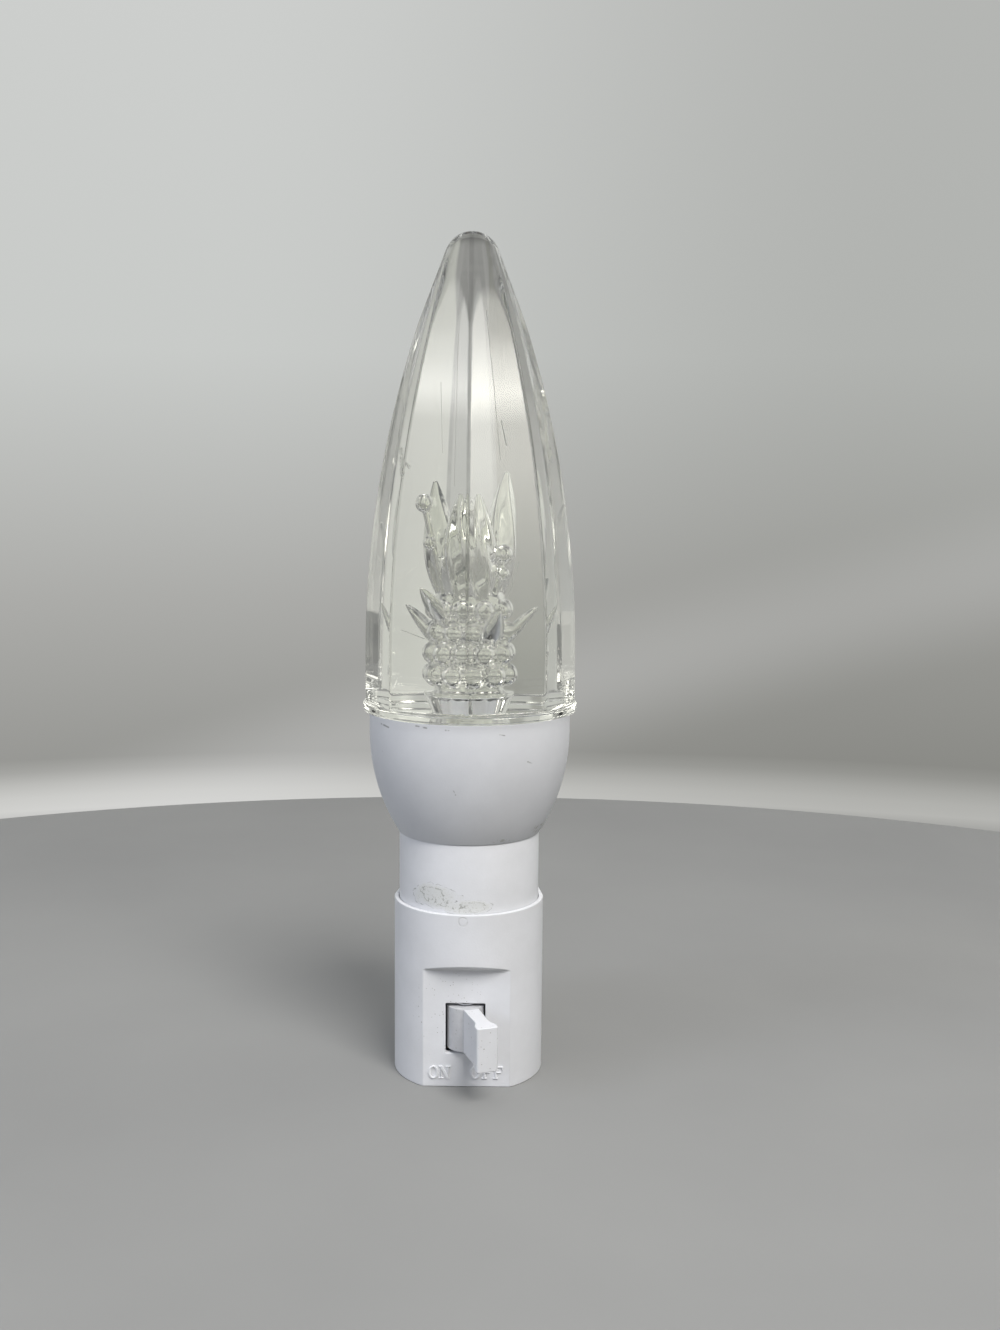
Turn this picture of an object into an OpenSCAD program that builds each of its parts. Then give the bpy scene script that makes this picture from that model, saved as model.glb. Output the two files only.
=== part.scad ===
// Plug in night light with a faceted clear dome, a white cup and collar,
// and a two-shell base that holds a turn lever switch, a small lamp and a two-blade plug.
// Millimetres. +Z is up, -Y is the front with the switch, +Y is the wall.
// The origin is on the lamp axis, at the foot that the light stands on.

/* [Base housing] */
// Radius of the round front of the base
base_r = 15; // [13.5:0.5:18]
// Height of the base from its foot to its rim
base_h = 35.7; // [35.5:0.1:45]
// Half width of the flat back face
back_half_w = 12; // [11:0.5:14]
// Radius of the two upright back corners
back_corner_r = 2.2; // [1:0.2:3]
// Gap left between the dome's flange and the wall
wall_gap = 0.8; // [0.4:0.2:6]
// Wall thickness of both shells
shell_wall = 1.6; // [1.2:0.1:2]
// Thickness of the wall that carries the blades
back_wall = 1.8; // [1.4:0.1:2.4]
// Thickness of the floor
floor_t = 1.5; // [1:0.1:2]
// Thickness of the deck that the collar stands on
deck_t = 1.6; // [1.2:0.1:2]
// Thickness of the rim around the collar
rim_wall = 0.9; // [0.7:0.1:1.2]
// Depth that the collar goes into the base
collar_depth = 8.7; // [6:0.1:10]

/* [Switch panel] */
// How far the flat panel is set back from the round front
panel_cut = 2.7; // [2:0.1:3.4]
// Height of the ramp that closes the panel at its top
panel_ramp = 1.4; // [0.8:0.1:2]
// Distance from the deck's top down to the panel's top edge
panel_drop = 3.1; // [2.6:0.1:5]
// Thickness of the panel
panel_wall = 1.5; // [1.2:0.1:1.8]
// Sideways place of the window's middle
window_x = -0.2; // [-1:0.1:1]
// Height of the window's lower edge
window_z = 6.95; // [6:0.05:8]
// Width of the window
window_w = 7.8; // [7.6:0.1:9]
// Height of the window
window_h = 10.1; // [8.8:0.1:10.6]

/* [Switch lever] */
// Distance from the panel's face back to the pivot
pivot_setback = 2.3; // [2:0.1:3]
// Radius of the lever's barrel
barrel_r = 3.7; // [3:0.1:3.7]
// Gap above and below the barrel in the window
lever_gap = 0.65; // [0.4:0.05:1]
// Length of the lever from its pivot to its tip
lever_len = 14.2; // [11:0.1:18]
// Width of the lever's flared tip
lever_tip_w = 4.3; // [3.4:0.1:5.2]
// Width of the lever at its waist
lever_waist_w = 2.8; // [2.2:0.1:3.2]
// Radius of the hollow flare between waist and tip
lever_flare_r = 4.9; // [4:0.1:6]
// Angle of the lever to each side of its middle
lever_swing = 19; // [12:1:22]
// Width of the tail that carries the bridge contact
tail_w = 3; // [2.4:0.1:3.4]
// Distance from the pivot to the tail's end
tail_len = 6.9; // [6.2:0.1:7.2]
// Radius of the pivot pin
pin_r = 0.8; // [0.6:0.05:1]

/* [Shade] */
// Height of collar that shows between base and cup
collar_show = 13.6; // [8:0.1:20]
// Wall thickness of the collar
collar_wall = 1.5; // [1.2:0.1:1.6]
// Height of the cup
cup_h = 24.5; // [22:0.5:32]
// Outer radius of the cup's upright top
cup_r = 19.9; // [18:0.1:23]
// Height of the upright band at the cup's top
cup_band = 4.4; // [3:0.1:6]
// Wall thickness of the cup
cup_wall = 1.6; // [1.2:0.1:2]
// How far the cup's foot stands out past the collar
cup_lip = 0.2; // [0.1:0.1:0.6]

/* [Dome] */
// Height of the dome from the cup's rim to its tip
dome_h = 92.3; // [84:0.5:115]
// Radius of the flange at the dome's foot
flange_r = 21.2; // [20.6:0.1:26]
// Thickness of the flange
flange_t = 1.6; // [1.2:0.1:2.4]
// How far the dome's corners stand in from the flange
flange_step = 0.3; // [0.1:0.1:1]
// Height above the cup up to which the dome's sides are straight
straight_h = 10.2; // [6:0.1:16]
// Radius of the rounded tip
tip_r = 5.8; // [4.5:0.1:7]
// Number of flat sides
sides = 8; // [6:2:12]
// Slope of the cone that blends the corners into the tip, in degrees
tip_cone = 21; // [19:0.5:24]

/* [Moulded hollow] */
// Radius of the hollow's mouth in the dome's foot
mouth_r = 4.6; // [4:0.1:5.2]
// Radius of the pot's rim
pot_r = 6.1; // [5.4:0.1:6.4]
// Height of the pot
pot_h = 4.3; // [3.5:0.1:5]
// Radius of a berry in the lowest tier
berry_r = 2.5; // [2:0.1:2.7]
// Height from one tier of berries to the next
tier_step = 4.1; // [3.8:0.1:4.4]
// Height of the tallest closed bud above the berries
bud_h = 27; // [20:0.5:28]
// Length of the leaves that stand out between the berries
leaf_len = 12.5; // [9:0.5:14]
// Height of the tallest sprig that ends in a berry
sprig_h = 19; // [14:0.5:21]

/* [Lamp] */
// Largest radius of the lamp's glass
bulb_r = 11; // [9:0.1:11.2]
// Length of the lamp from end contact to glass tip
bulb_len = 50; // [46:0.5:50]
// Outer radius of the lamp's screw shell
thread_r = 5.95; // [5.8:0.05:6]
// Pitch of the lamp's screw thread
thread_pitch = 2.54; // [2.5:0.01:2.6]
// Height of the lamp's screw shell
lamp_shell_h = 10.6; // [10:0.1:11]
// Height of the end contact and insulator below the screw shell
lamp_nose_h = 2.5; // [2.3:0.1:3]
// Thickness of the glass
glass_t = 0.7; // [0.5:0.1:1]

/* [Plug and contacts] */
// Distance between the middles of the blades
blade_pitch = 12.7; // [12.7]
// Height of a blade
blade_h = 6.35; // [6.35]
// Thickness of a blade
blade_t = 1.5; // [1.4:0.05:1.6]
// Length of a blade outside the back face
blade_len = 17; // [16:0.1:18]
// Radius of the hole in a blade
blade_hole_r = 1.6; // [1.5:0.1:1.6]
// Height of the blades' middle above the foot
blade_z = 13; // [12.5:0.1:14]
// Thickness of the contact strips
strip_t = 0.5; // [0.4:0.05:0.6]
// Radius of the rivets
rivet_r = 0.8; // [0.6:0.1:0.9]
// Radius of the case screws
screw_r = 1.05; // [0.9:0.05:1.2]

/* [Hidden] */

$fn = 96;
eps = 0.5;                 // overshoot of every cut past the face it opens
fine = 720;                // segments of the long, flat arcs

// fits
collar_clear = 0.1;        // collar in the base's sleeve, radial
pin_clear = 0.06;          // lever on its pin, radial
thread_clear = 0.1;        // lamp in its socket, radial
seat_clear = 0.05;         // fixed parts in their seats
contact_gap = 0.1;         // bridge contact to its tabs with the switch on
lug_gap = 0.3;             // lever's barrel to the lugs that hold the pin
ring_clear = 0.2;          // dome's ring in the cup's mouth
lamp_top_clear = 0.7;      // raised lamp to the dome

// heights
deck_z = base_h - collar_depth;
panel_top = deck_z - panel_drop;
cup_z = base_h + collar_show;
dome_z = cup_z + cup_h;
dome_top = dome_z + dome_h;

// base
collar_r = base_r - rim_wall - collar_clear;
collar_bore_r = collar_r - collar_wall;
inner_r = base_r - shell_wall;
base_back = flange_r + wall_gap;
side_slope = (base_r - back_half_w) / base_back;
panel_y = base_r - panel_cut;

// switch
pivot_x = window_x;
pivot_y = -(panel_y - pivot_setback);
barrel_z = window_z + lever_gap;
barrel_h = window_h - 2 * lever_gap;
lug_r = 2.2;
lug_h = 2.3;
tail_z = barrel_z + 1;
tail_h = barrel_h - 2.2;
tip_corner_r = 0.5;
lever_head = 1.8;          // length of the full width at the lever's tip
bridge_t = 0.5;
bridge_root = 4.4;         // from the pivot to the bridge's front end

// socket and lamp
socket_bore_r = thread_r + thread_clear;
socket_wall = 0.4;
socket_r = socket_bore_r + socket_wall;
socket_rim = 1.4;          // height of the socket above the deck
socket_top = deck_z + socket_rim;
socket_h = lamp_shell_h + 0.8;
socket_z = socket_top - socket_h;
socket_flange_r = socket_r + 1.1;
lamp_shell_top = socket_top + 0.2;
lamp_shell_z = lamp_shell_top - lamp_shell_h;
lamp_z = lamp_shell_z - lamp_nose_h;
lamp_top = lamp_z + bulb_len;
neck_r = thread_r - 0.45;
bead_r = 0.55;             // rolled bead of the lamp's screw thread
lamp_shell_wall = 0.35;
lamp_shell_in_r = thread_r - bead_r - lamp_shell_wall;
neck_in_shell_r = lamp_shell_in_r - seat_clear;
insulator_r = 4.9;
contact_r = 2;

// plug
blade_x = blade_pitch / 2;
blade_tail_h = 9;
blade_tail = 4.6;          // length of the blade's wide inner end
blade_tail_y = base_back - back_wall - blade_tail;
blade_hole_y = base_back + 11.7;
rivet_y = blade_tail_y + 2.2;
strip_x = blade_x - blade_t / 2 - strip_t / 2;
rivet_head_r = 1.45;
rivet_head_t = 0.5;

// contacts
strip_h = 2.6;
line_z = tail_z;
centre_z = tail_z + tail_h - strip_h;
strap_z = blade_z - 1;
strap_h = 3.6;
post_y = 3.8;
post_l = 3;
centre_x = 3.6;
tongue_w = 2.6;

// case screws
screw_x = 7.6;
screw_z = 4.8;
screw_seat_y = 7;
screw_depth = 5.5;         // length of screw in the front shell
screw_head_r = 2.1;
screw_head_h = 1.6;
well_r = screw_head_r + 0.2;
well_wall = 1.1;

white = [0.90, 0.90, 0.93];
brass = [0.80, 0.66, 0.36];
steel = [0.74, 0.75, 0.77];
clear = [0.85, 0.88, 0.86, 0.35];
glass = [0.92, 0.93, 0.92, 0.45];

// ---------- helpers ----------

// A ring or tube standing on z
module tube(outer, inner, h) {
    difference() {
        cylinder(r = outer, h = h);
        translate([0, 0, -eps])
            cylinder(r = inner, h = h + 2 * eps);
    }
}

// Keeps what is in front of the parting plane
module front_half() {
    intersection() {
        children();
        translate([-60, -60, -10])
            cube([120, 60, 260]);
    }
}

// Keeps what is behind the parting plane
module back_half() {
    intersection() {
        children();
        translate([-60, 0, -10])
            cube([120, 60, 260]);
    }
}

// A 2-D rectangle from one corner to another
module rect(x0, y0, x1, y1) {
    translate([x0, y0])
        square([x1 - x0, y1 - y0]);
}

// Unit vector across the line from a to b, to its left
function left_of(a, b) = let (d = (b - a) / norm(b - a)) [-d[1], d[0]];

// Mitred offset of one point of a path, by w to the left
function mitre(pts, i, w) =
    let (
        n = len(pts) - 1,
        before = left_of(pts[max(i - 1, 0)], pts[max(i, 1)]),
        after = left_of(pts[min(i, n - 1)], pts[min(i + 1, n)]),
        m = before + after
    )
    pts[i] + m * (2 * w / (m * m));

// A flat strip of thickness t along a 2-D path, standing h high
module strip(pts, t, h) {
    n = len(pts) - 1;
    linear_extrude(height = h)
        polygon(concat(
            [for (i = [0 : n]) mitre(pts, i, t / 2)],
            [for (i = [n : -1 : 0]) mitre(pts, i, -t / 2)]
        ));
}

// A point given in the frame of the switched-on lever: x across it, y along its tail
function on_lever(x, y) = [
    pivot_x + x * cos(lever_swing) + y * sin(lever_swing),
    pivot_y - x * sin(lever_swing) + y * cos(lever_swing)
];

// ---------- shade ----------

half_side = 180 / sides;
corner_r = flange_r - flange_step;
foot_apothem = corner_r * cos(half_side);
tip_centre = dome_h - tip_r;
tip_apothem = tip_r + 0.1;
side_rise = tip_centre - straight_h;
side_in = foot_apothem - tip_apothem;
side_r = (side_rise * side_rise + side_in * side_in) / (2 * side_in);

// Upright outline of one pair of opposite sides: straight at the foot, then a long arc
module ogive_outline() {
    arc_x = side_r - foot_apothem;
    rect(-foot_apothem, 0, foot_apothem, straight_h);
    intersection() {
        translate([-arc_x, straight_h])
            circle(r = side_r, $fn = fine);
        translate([arc_x, straight_h])
            circle(r = side_r, $fn = fine);
        rect(-foot_apothem, straight_h, foot_apothem, dome_h + 2 * tip_r);
    }
}

// Round envelope that turns the pointed ogive into a rounded tip
module tip_envelope() {
    touch_r = tip_r * cos(tip_cone);
    touch_z = tip_centre + tip_r * sin(tip_cone);
    foot_r = touch_r + touch_z * tan(tip_cone);
    rotate_extrude()
        union() {
            polygon([[0, 0], [foot_r, 0], [touch_r, touch_z], [0, touch_z]]);
            intersection() {
                translate([0, tip_centre])
                    circle(r = tip_r);
                rect(0, touch_z, tip_r, dome_h + eps);
            }
        }
}

// Upright slab between the pair of opposite sides number k
module side_pair(k) {
    rotate([0, 0, half_side * (2 * k + 1)])
        rotate([90, 0, 0])
            linear_extrude(height = 3 * flange_r, center = true)
                ogive_outline();
}

// The pointed ogive that all pairs of sides from number k on enclose
module pointed_ogive(k) {
    if (k == sides / 2 - 1)
        side_pair(k);
    else
        intersection() {
            side_pair(k);
            pointed_ogive(k + 1);
        }
}

// A closed bud standing on z, slender and with small rounded ends
module bud(h, r) {
    end_r = 0.6;
    half = h / 2 - end_r;
    arc = (half * half + pow(r - end_r, 2)) / (2 * (r - end_r));
    rotate_extrude()
        union() {
            intersection() {
                translate([r - arc, h / 2])
                    circle(r = arc, $fn = fine);
                rect(0, end_r, r, h - end_r);
            }
            for (z = [end_r, h - end_r])
                intersection() {
                    translate([0, z])
                        circle(r = end_r);
                    rect(0, 0, end_r, h);
                }
        }
}

berry_ring = 4.7;          // radius of the lowest circle of berries
ring_step = 0.15;          // how much narrower each next circle is
berry_step = 0.12;         // how much smaller its berries are
berries = 7;
tiers = 4;
core_r = 4.9;
pot_rim = 0.3;             // how far the pot's rim stands out
pot_rim_h = 0.9;
tier_z = pot_h + berry_r + 0.9;
head_z = tier_z + tiers * tier_step;
leaves = 5;
leaf_turn = 8;             // direction of the first leaf, from +X
leaf_r = 2.1;
leaf_tilt = 38;
buds = 3;
bud_turn = 30;
bud_r = 3.3;
bud_tilt = 7;
bud_drop = 2;              // how much shorter each next bud is
sprig_turn = 90;
sprig_r = 0.7;
sprig_tilt = 17;
sprig_drops = [7, 0, 10];  // how much lower each sprig is than the tallest
fruit_r = 1.8;             // berry at the end of a sprig
side_fruit_r = 1.25;       // smaller berry on the way
side_fruit_x = 0.9;

// One tier of berries round the core, each tier turned against the one below
module tier(k) {
    for (i = [0 : berries - 1])
        rotate([0, 0, (i + 0.5 * k) * 360 / berries])
            translate([berry_ring - ring_step * k, 0, tier_z + k * tier_step])
                sphere(r = berry_r - berry_step * k, $fn = 48);
}

// What stands at a distance from the axis, turned about it and leaning outwards
module leaning(turn, reach, z, tilt) {
    rotate([0, 0, turn])
        translate([reach, 0, z])
            rotate([0, tilt, 0])
                children();
}

// A stalk with a berry at its end and a smaller one on the way
module sprig(h) {
    cylinder(r = sprig_r, h = h);
    translate([0, 0, h])
        sphere(r = fruit_r, $fn = 48);
    translate([side_fruit_x, 0, 0.6 * h])
        sphere(r = side_fruit_r, $fn = 48);
}

// The hollow: a small pot of berries with leaves, sprigs and closed buds, open at the dome's foot
module hollow() {
    translate([0, 0, -eps])
        cylinder(r = mouth_r, h = 2 * eps);
    cylinder(r1 = mouth_r, r2 = pot_r, h = pot_h);
    translate([0, 0, pot_h - pot_rim_h])
        cylinder(r = pot_r + pot_rim, h = pot_rim_h);
    translate([0, 0, pot_h - 0.01])
        cylinder(r = core_r, h = head_z - pot_h);
    for (k = [0 : tiers - 1])
        tier(k);
    for (i = [0 : leaves - 1])
        leaning(leaf_turn + i * 360 / leaves, core_r - 1.6, tier_z + (1 + i % 2) * tier_step, leaf_tilt)
            bud(leaf_len, leaf_r);
    for (i = [0 : buds - 1])
        leaning(bud_turn + i * 360 / buds, 2.2, head_z - 4, bud_tilt)
            bud(bud_h - bud_drop * i, bud_r);
    for (i = [0 : buds - 1])
        leaning(sprig_turn + i * 360 / buds, 2.8, head_z - 2, sprig_tilt)
            sprig(sprig_h - sprig_drops[i]);
}

module dome() {
    color(clear)
        translate([0, 0, dome_z])
            difference() {
                union() {
                    intersection() {
                        pointed_ogive(0);
                        tip_envelope();
                    }
                    cylinder(r = flange_r, h = flange_t);
                    translate([0, 0, -ring_h])
                        tube(ring_r, ring_r - ring_t, ring_h + 0.1);
                }
                hollow();
            }
}

ring_t = 1.2;
ring_h = 1.2;
ring_r = cup_r - cup_wall - ring_clear;

cup_foot_r = collar_r + cup_lip;
spigot_r = collar_r - 1.1;
spigot_h = 2.6;
cup_arc_h = cup_h - cup_band;
cup_in = cup_r - cup_foot_r;
cup_arc_r = (cup_arc_h * cup_arc_h + cup_in * cup_in) / (2 * cup_in);

// Half outline of the bowl at a distance inside its outer face
module bowl_outline(inset) {
    intersection() {
        translate([cup_r - cup_arc_r, cup_arc_h])
            circle(r = cup_arc_r - inset, $fn = fine);
        rect(0, -eps, cup_r, cup_arc_h);
    }
    rect(0, cup_arc_h, cup_r - inset, cup_h + eps);
}

module cup() {
    color(white)
        translate([0, 0, cup_z])
            difference() {
                rotate_extrude()
                    intersection() {
                        bowl_outline(0);
                        rect(0, 0, cup_r, cup_h);
                    }
                rotate_extrude()
                    intersection() {
                        bowl_outline(cup_wall);
                        rect(0, cup_wall, cup_r, cup_h + eps);
                    }
                translate([0, 0, -eps])
                    cylinder(r = spigot_r + seat_clear, h = cup_wall + 2 * eps);
            }
}

module collar() {
    color(white)
        difference() {
            union() {
                translate([0, 0, deck_z])
                    cylinder(r = collar_r, h = cup_z - deck_z);
                translate([0, 0, cup_z - 0.1])
                    cylinder(r = spigot_r, h = spigot_h + 0.1);
            }
            translate([0, 0, deck_z - eps])
                cylinder(r = collar_bore_r, h = cup_z - deck_z + spigot_h + 2 * eps);
        }
}

// ---------- base housing ----------

// Plan of the base behind the parting plane, drawn in by inset at the sides and back_inset behind
module back_outline(inset, back_inset) {
    k = sqrt(1 + side_slope * side_slope);
    r = max(back_corner_r - inset, 0.4);
    y1 = base_back - back_inset;
    cy = y1 - r;
    cx = base_r - side_slope * cy - (inset + r) * k;
    tx = cx + r / k;
    ty = cy + r * side_slope / k;
    x0 = base_r - inset * k;
    polygon([[-x0, 0], [x0, 0], [tx, ty], [cx, y1], [-cx, y1], [-tx, ty]]);
    for (side = [-1, 1])
        translate([side * cx, cy])
            circle(r = r);
}

// What is cut away in front of the flat panel, with the ramp at its top
module panel_cutter() {
    reach = panel_cut + 1;
    rise = panel_ramp * reach / panel_cut;
    translate([-base_r - 1, 0, 0])
        rotate([90, 0, 90])
            linear_extrude(height = 2 * base_r + 2)
                polygon([
                    [-panel_y, -eps],
                    [-panel_y, panel_top],
                    [-panel_y - reach, panel_top + rise],
                    [-panel_y - reach, -eps]
                ]);
}

// Hollow of the front shell below the deck
module front_room() {
    translate([0, 0, floor_t])
        linear_extrude(height = deck_z - deck_t - floor_t)
            intersection() {
                circle(r = inner_r);
                rect(-inner_r, -(panel_y - panel_wall), inner_r, eps);
            }
}

// Lugs of the front shell that hold the lever's pin
module pin_lugs() {
    top_z = barrel_z + barrel_h + lug_gap;
    low_h = barrel_z - lug_gap - floor_t;
    for (z_h = [[floor_t, low_h], [top_z, lug_h]])
        translate([pivot_x, pivot_y, z_h[0]]) {
            cylinder(r = lug_r, h = z_h[1]);
            translate([-lug_r, -pivot_setback + panel_wall - 0.1, 0])
                cube([2 * lug_r, pivot_setback - panel_wall + 0.1, z_h[1]]);
        }
}

// Rib of one shell that steadies the socket, reaching to the side walls
rib_z = deck_z - 7;
rib_t = 1.5;
rib_d = 5;
module socket_rib(y0) {
    translate([-inner_r - 0.4, y0, rib_z])
        cube([2 * inner_r + 0.8, rib_d, rib_t]);
}

// Round seat cut through deck and ribs for the socket
module socket_seat() {
    translate([0, 0, rib_z - eps])
        cylinder(r = socket_r + seat_clear, h = deck_z - rib_z + 2 * eps);
}

// Something along +Y at each of the two case screws
module at_screws(y) {
    for (side = [-1, 1])
        translate([side * screw_x, y, screw_z])
            rotate([-90, 0, 0])
                children();
}

tongue_x = 9.2;
module front_shell() {
    post_end = panel_y - panel_wall;
    color(white)
        difference() {
            union() {
                difference() {
                    front_half()
                        cylinder(r = base_r, h = base_h);
                    panel_cutter();
                    front_room();
                    translate([0, 0, deck_z])
                        cylinder(r = collar_r + collar_clear, h = collar_depth + eps);
                    translate([window_x - window_w / 2, -panel_y - eps, window_z])
                        cube([window_w, panel_wall + 2 * eps, window_h]);
                }
                pin_lugs();
                intersection() {
                    socket_rib(-rib_d);
                    cylinder(r = base_r - 0.4, h = base_h);
                }
                intersection() {
                    at_screws(-post_end - 0.1)
                        cylinder(r = well_r + 0.3, h = post_end + 0.1);
                    cylinder(r = base_r - 0.4, h = base_h);
                }
                for (side = [-1, 1])
                    translate([side * tongue_x - 1.5, -2, deck_z - deck_t - 1.7])
                        cube([3, 4, 1.6]);
                for (side = [-1, 1])
                    translate([side * tongue_x - 1.5, -2, deck_z - deck_t - 1.7])
                        cube([3, 2, 1.8]);
            }
            socket_seat();
            at_screws(-screw_depth)
                cylinder(r = screw_r, h = screw_depth + eps);
            translate([pivot_x, pivot_y, floor_t])
                cylinder(r = pin_r, h = barrel_z + barrel_h + lug_gap + lug_h);
        }
}

module back_shell() {
    pocket_top = base_h - shell_wall;
    color(white)
        difference() {
            union() {
                difference() {
                    linear_extrude(height = base_h)
                        back_outline(0, 0);
                    // room below the deck
                    translate([0, 0, floor_t])
                        linear_extrude(height = deck_z - deck_t - floor_t)
                            union() {
                                back_outline(shell_wall, back_wall);
                                rect(-inner_r + 0.1, -eps, inner_r - 0.1, eps);
                            }
                    // pocket behind the sleeve
                    translate([0, 0, deck_z - deck_t - 0.1])
                        linear_extrude(height = pocket_top - deck_z + deck_t + 0.1)
                            difference() {
                                back_outline(shell_wall, back_wall);
                                circle(r = base_r);
                            }
                    translate([0, 0, deck_z])
                        cylinder(r = collar_r + collar_clear, h = collar_depth + eps);
                }
                intersection() {
                    socket_rib(0);
                    linear_extrude(height = base_h)
                        back_outline(0.4, 0.4);
                }
                at_screws(0)
                    cylinder(r = well_r + well_wall, h = base_back - 0.4);
                translate([0.6, post_y, floor_t - 0.1])
                    cube([centre_x - strip_t / 2 - 0.6, post_l, centre_z + strip_h - floor_t + 0.1]);
            }
            socket_seat();
            at_screws(-eps)
                cylinder(r = screw_r + 0.1, h = base_back);
            at_screws(screw_seat_y)
                cylinder(r = well_r, h = base_back);
            for (side = [-1, 1])
                translate([side * blade_x - blade_t / 2 - seat_clear, base_back - back_wall - eps,
                           blade_z - blade_h / 2 - seat_clear])
                    cube([blade_t + 2 * seat_clear, back_wall + 2 * eps, blade_h + 2 * seat_clear]);
            translate([0, post_y + post_l / 2, centre_z + strip_h / 2])
                rotate([0, 90, 0])
                    cylinder(r = rivet_r, h = centre_x);
        }
}

module case_screws() {
    color(steel)
        difference() {
            union() {
                at_screws(-screw_depth)
                    cylinder(r = screw_r, h = screw_depth + screw_seat_y + 0.1);
                at_screws(screw_seat_y)
                    cylinder(r = screw_head_r, h = screw_head_h);
            }
            at_screws(screw_seat_y + screw_head_h - 0.8) {
                translate([-1.3, -0.25, 0])
                    cube([2.6, 0.5, 1]);
                translate([-0.25, -1.3, 0])
                    cube([0.5, 2.6, 1]);
            }
        }
}

// ---------- switch ----------

// Plan of the lever, pointing to -Y from its pivot
module lever_outline() {
    waist = lever_waist_w / 2;
    tip = lever_tip_w / 2;
    flare = sqrt(lever_flare_r * lever_flare_r - pow(lever_flare_r - tip + waist, 2));
    waist_y = -(lever_len - lever_head - flare);
    circle(r = barrel_r);
    polygon([[-waist - 0.2, 0], [-waist, waist_y - 0.1], [waist, waist_y - 0.1], [waist + 0.2, 0]]);
    difference() {
        rect(-tip, -lever_len + tip_corner_r, tip, waist_y);
        for (side = [-1, 1])
            translate([side * (waist + lever_flare_r), waist_y])
                circle(r = lever_flare_r);
    }
    for (side = [-1, 1])
        translate([side * (tip - tip_corner_r), -lever_len + tip_corner_r])
            circle(r = tip_corner_r, $fn = 32);
    rect(-tip + tip_corner_r, -lever_len, tip - tip_corner_r, -lever_len + 2 * tip_corner_r);
}

// Turns what is drawn in the lever's own frame to its off position
module at_lever_off() {
    translate([pivot_x, pivot_y, 0])
        rotate([0, 0, lever_swing])
            children();
}

module switch_lever() {
    color(white)
        at_lever_off()
            difference() {
                union() {
                    translate([0, 0, barrel_z])
                        linear_extrude(height = barrel_h)
                            lever_outline();
                    translate([-tail_w / 2, 0, tail_z])
                        cube([tail_w, tail_len, tail_h]);
                }
                translate([0, 0, barrel_z - eps])
                    cylinder(r = pin_r + pin_clear, h = barrel_h + 2 * eps);
            }
}

module pivot_pin() {
    color(steel)
        translate([pivot_x, pivot_y, floor_t])
            cylinder(r = pin_r, h = barrel_z + barrel_h + lug_gap + lug_h - floor_t);
}

// Spring clip on the tail: a long face beside it and a short one over its end
module bridge_contact() {
    x0 = tail_w / 2;
    color(brass)
        at_lever_off()
            translate([0, 0, tail_z]) {
                translate([x0, bridge_root, 0])
                    cube([bridge_t, tail_len + bridge_t - bridge_root, tail_h]);
                translate([-x0 + 0.4, tail_len, 0])
                    cube([tail_w - 0.3, bridge_t, tail_h]);
            }
}

// ---------- contacts ----------

tab_x = tail_w / 2 + bridge_t + contact_gap + strip_t / 2;
tab_front = on_lever(tab_x, bridge_root + 0.2);
tab_back = on_lever(tab_x, tail_len + bridge_t + 0.6);

// Rivet hole along X at a place on a strip
module rivet_hole(y, z) {
    translate([-base_r, y, z])
        rotate([0, 90, 0])
            cylinder(r = rivet_r, h = 2 * base_r);
}

module line_contact() {
    path = [tab_front, tab_back, [strip_x, 1], [strip_x, base_back - back_wall - 0.8]];
    color(brass)
        difference() {
            translate([0, 0, line_z])
                strip(path, strip_t, strip_h);
            rivet_hole(rivet_y, line_z + strip_h / 2);
        }
}

module centre_contact() {
    path = [tab_front, tab_back, [centre_x, -1.6], [centre_x, post_y + post_l]];
    tongue_z = lamp_z - seat_clear - 0.8;
    color(brass) {
        difference() {
            translate([0, 0, centre_z])
                strip(path, strip_t, strip_h);
            rivet_hole(post_y + post_l / 2, centre_z + strip_h / 2);
        }
        translate([centre_x - strip_t / 2, -tongue_w / 2, centre_z + strip_h - 0.1])
            cube([strip_t, tongue_w, tongue_z - centre_z - strip_h + strip_t + 0.1]);
        translate([-1.6, -tongue_w / 2, tongue_z])
            cube([centre_x + 1.6 + strip_t / 2, tongue_w, strip_t]);
        translate([0, 0, tongue_z])
            cylinder(r = 1.1, h = 0.8);
    }
}

module shell_strap() {
    leg_x = -(socket_r + strip_t / 2);
    leg_w = 4;
    path = [[-strip_x, base_back - back_wall - 0.8], [-strip_x, 7], [leg_x, leg_w / 2 + 1], [leg_x, -leg_w / 2]];
    color(brass) {
        difference() {
            translate([0, 0, strap_z])
                strip(path, strip_t, strap_h);
            rivet_hole(rivet_y, strap_z + strap_h / 2);
        }
        translate([leg_x - strip_t / 2, -leg_w / 2, strap_z])
            cube([strip_t, leg_w, rib_z - 0.5 - strap_z]);
    }
}

module socket_shell() {
    color(brass)
        difference() {
            union() {
                translate([0, 0, socket_z])
                    cylinder(r = socket_r, h = socket_h);
                translate([0, 0, deck_z])
                    cylinder(r = socket_flange_r, h = socket_wall);
            }
            translate([0, 0, socket_z + socket_wall])
                cylinder(r = socket_bore_r, h = socket_h);
            translate([0, 0, socket_z - eps])
                cylinder(r = insulator_r - 0.7, h = socket_wall + 2 * eps);
        }
}

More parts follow.
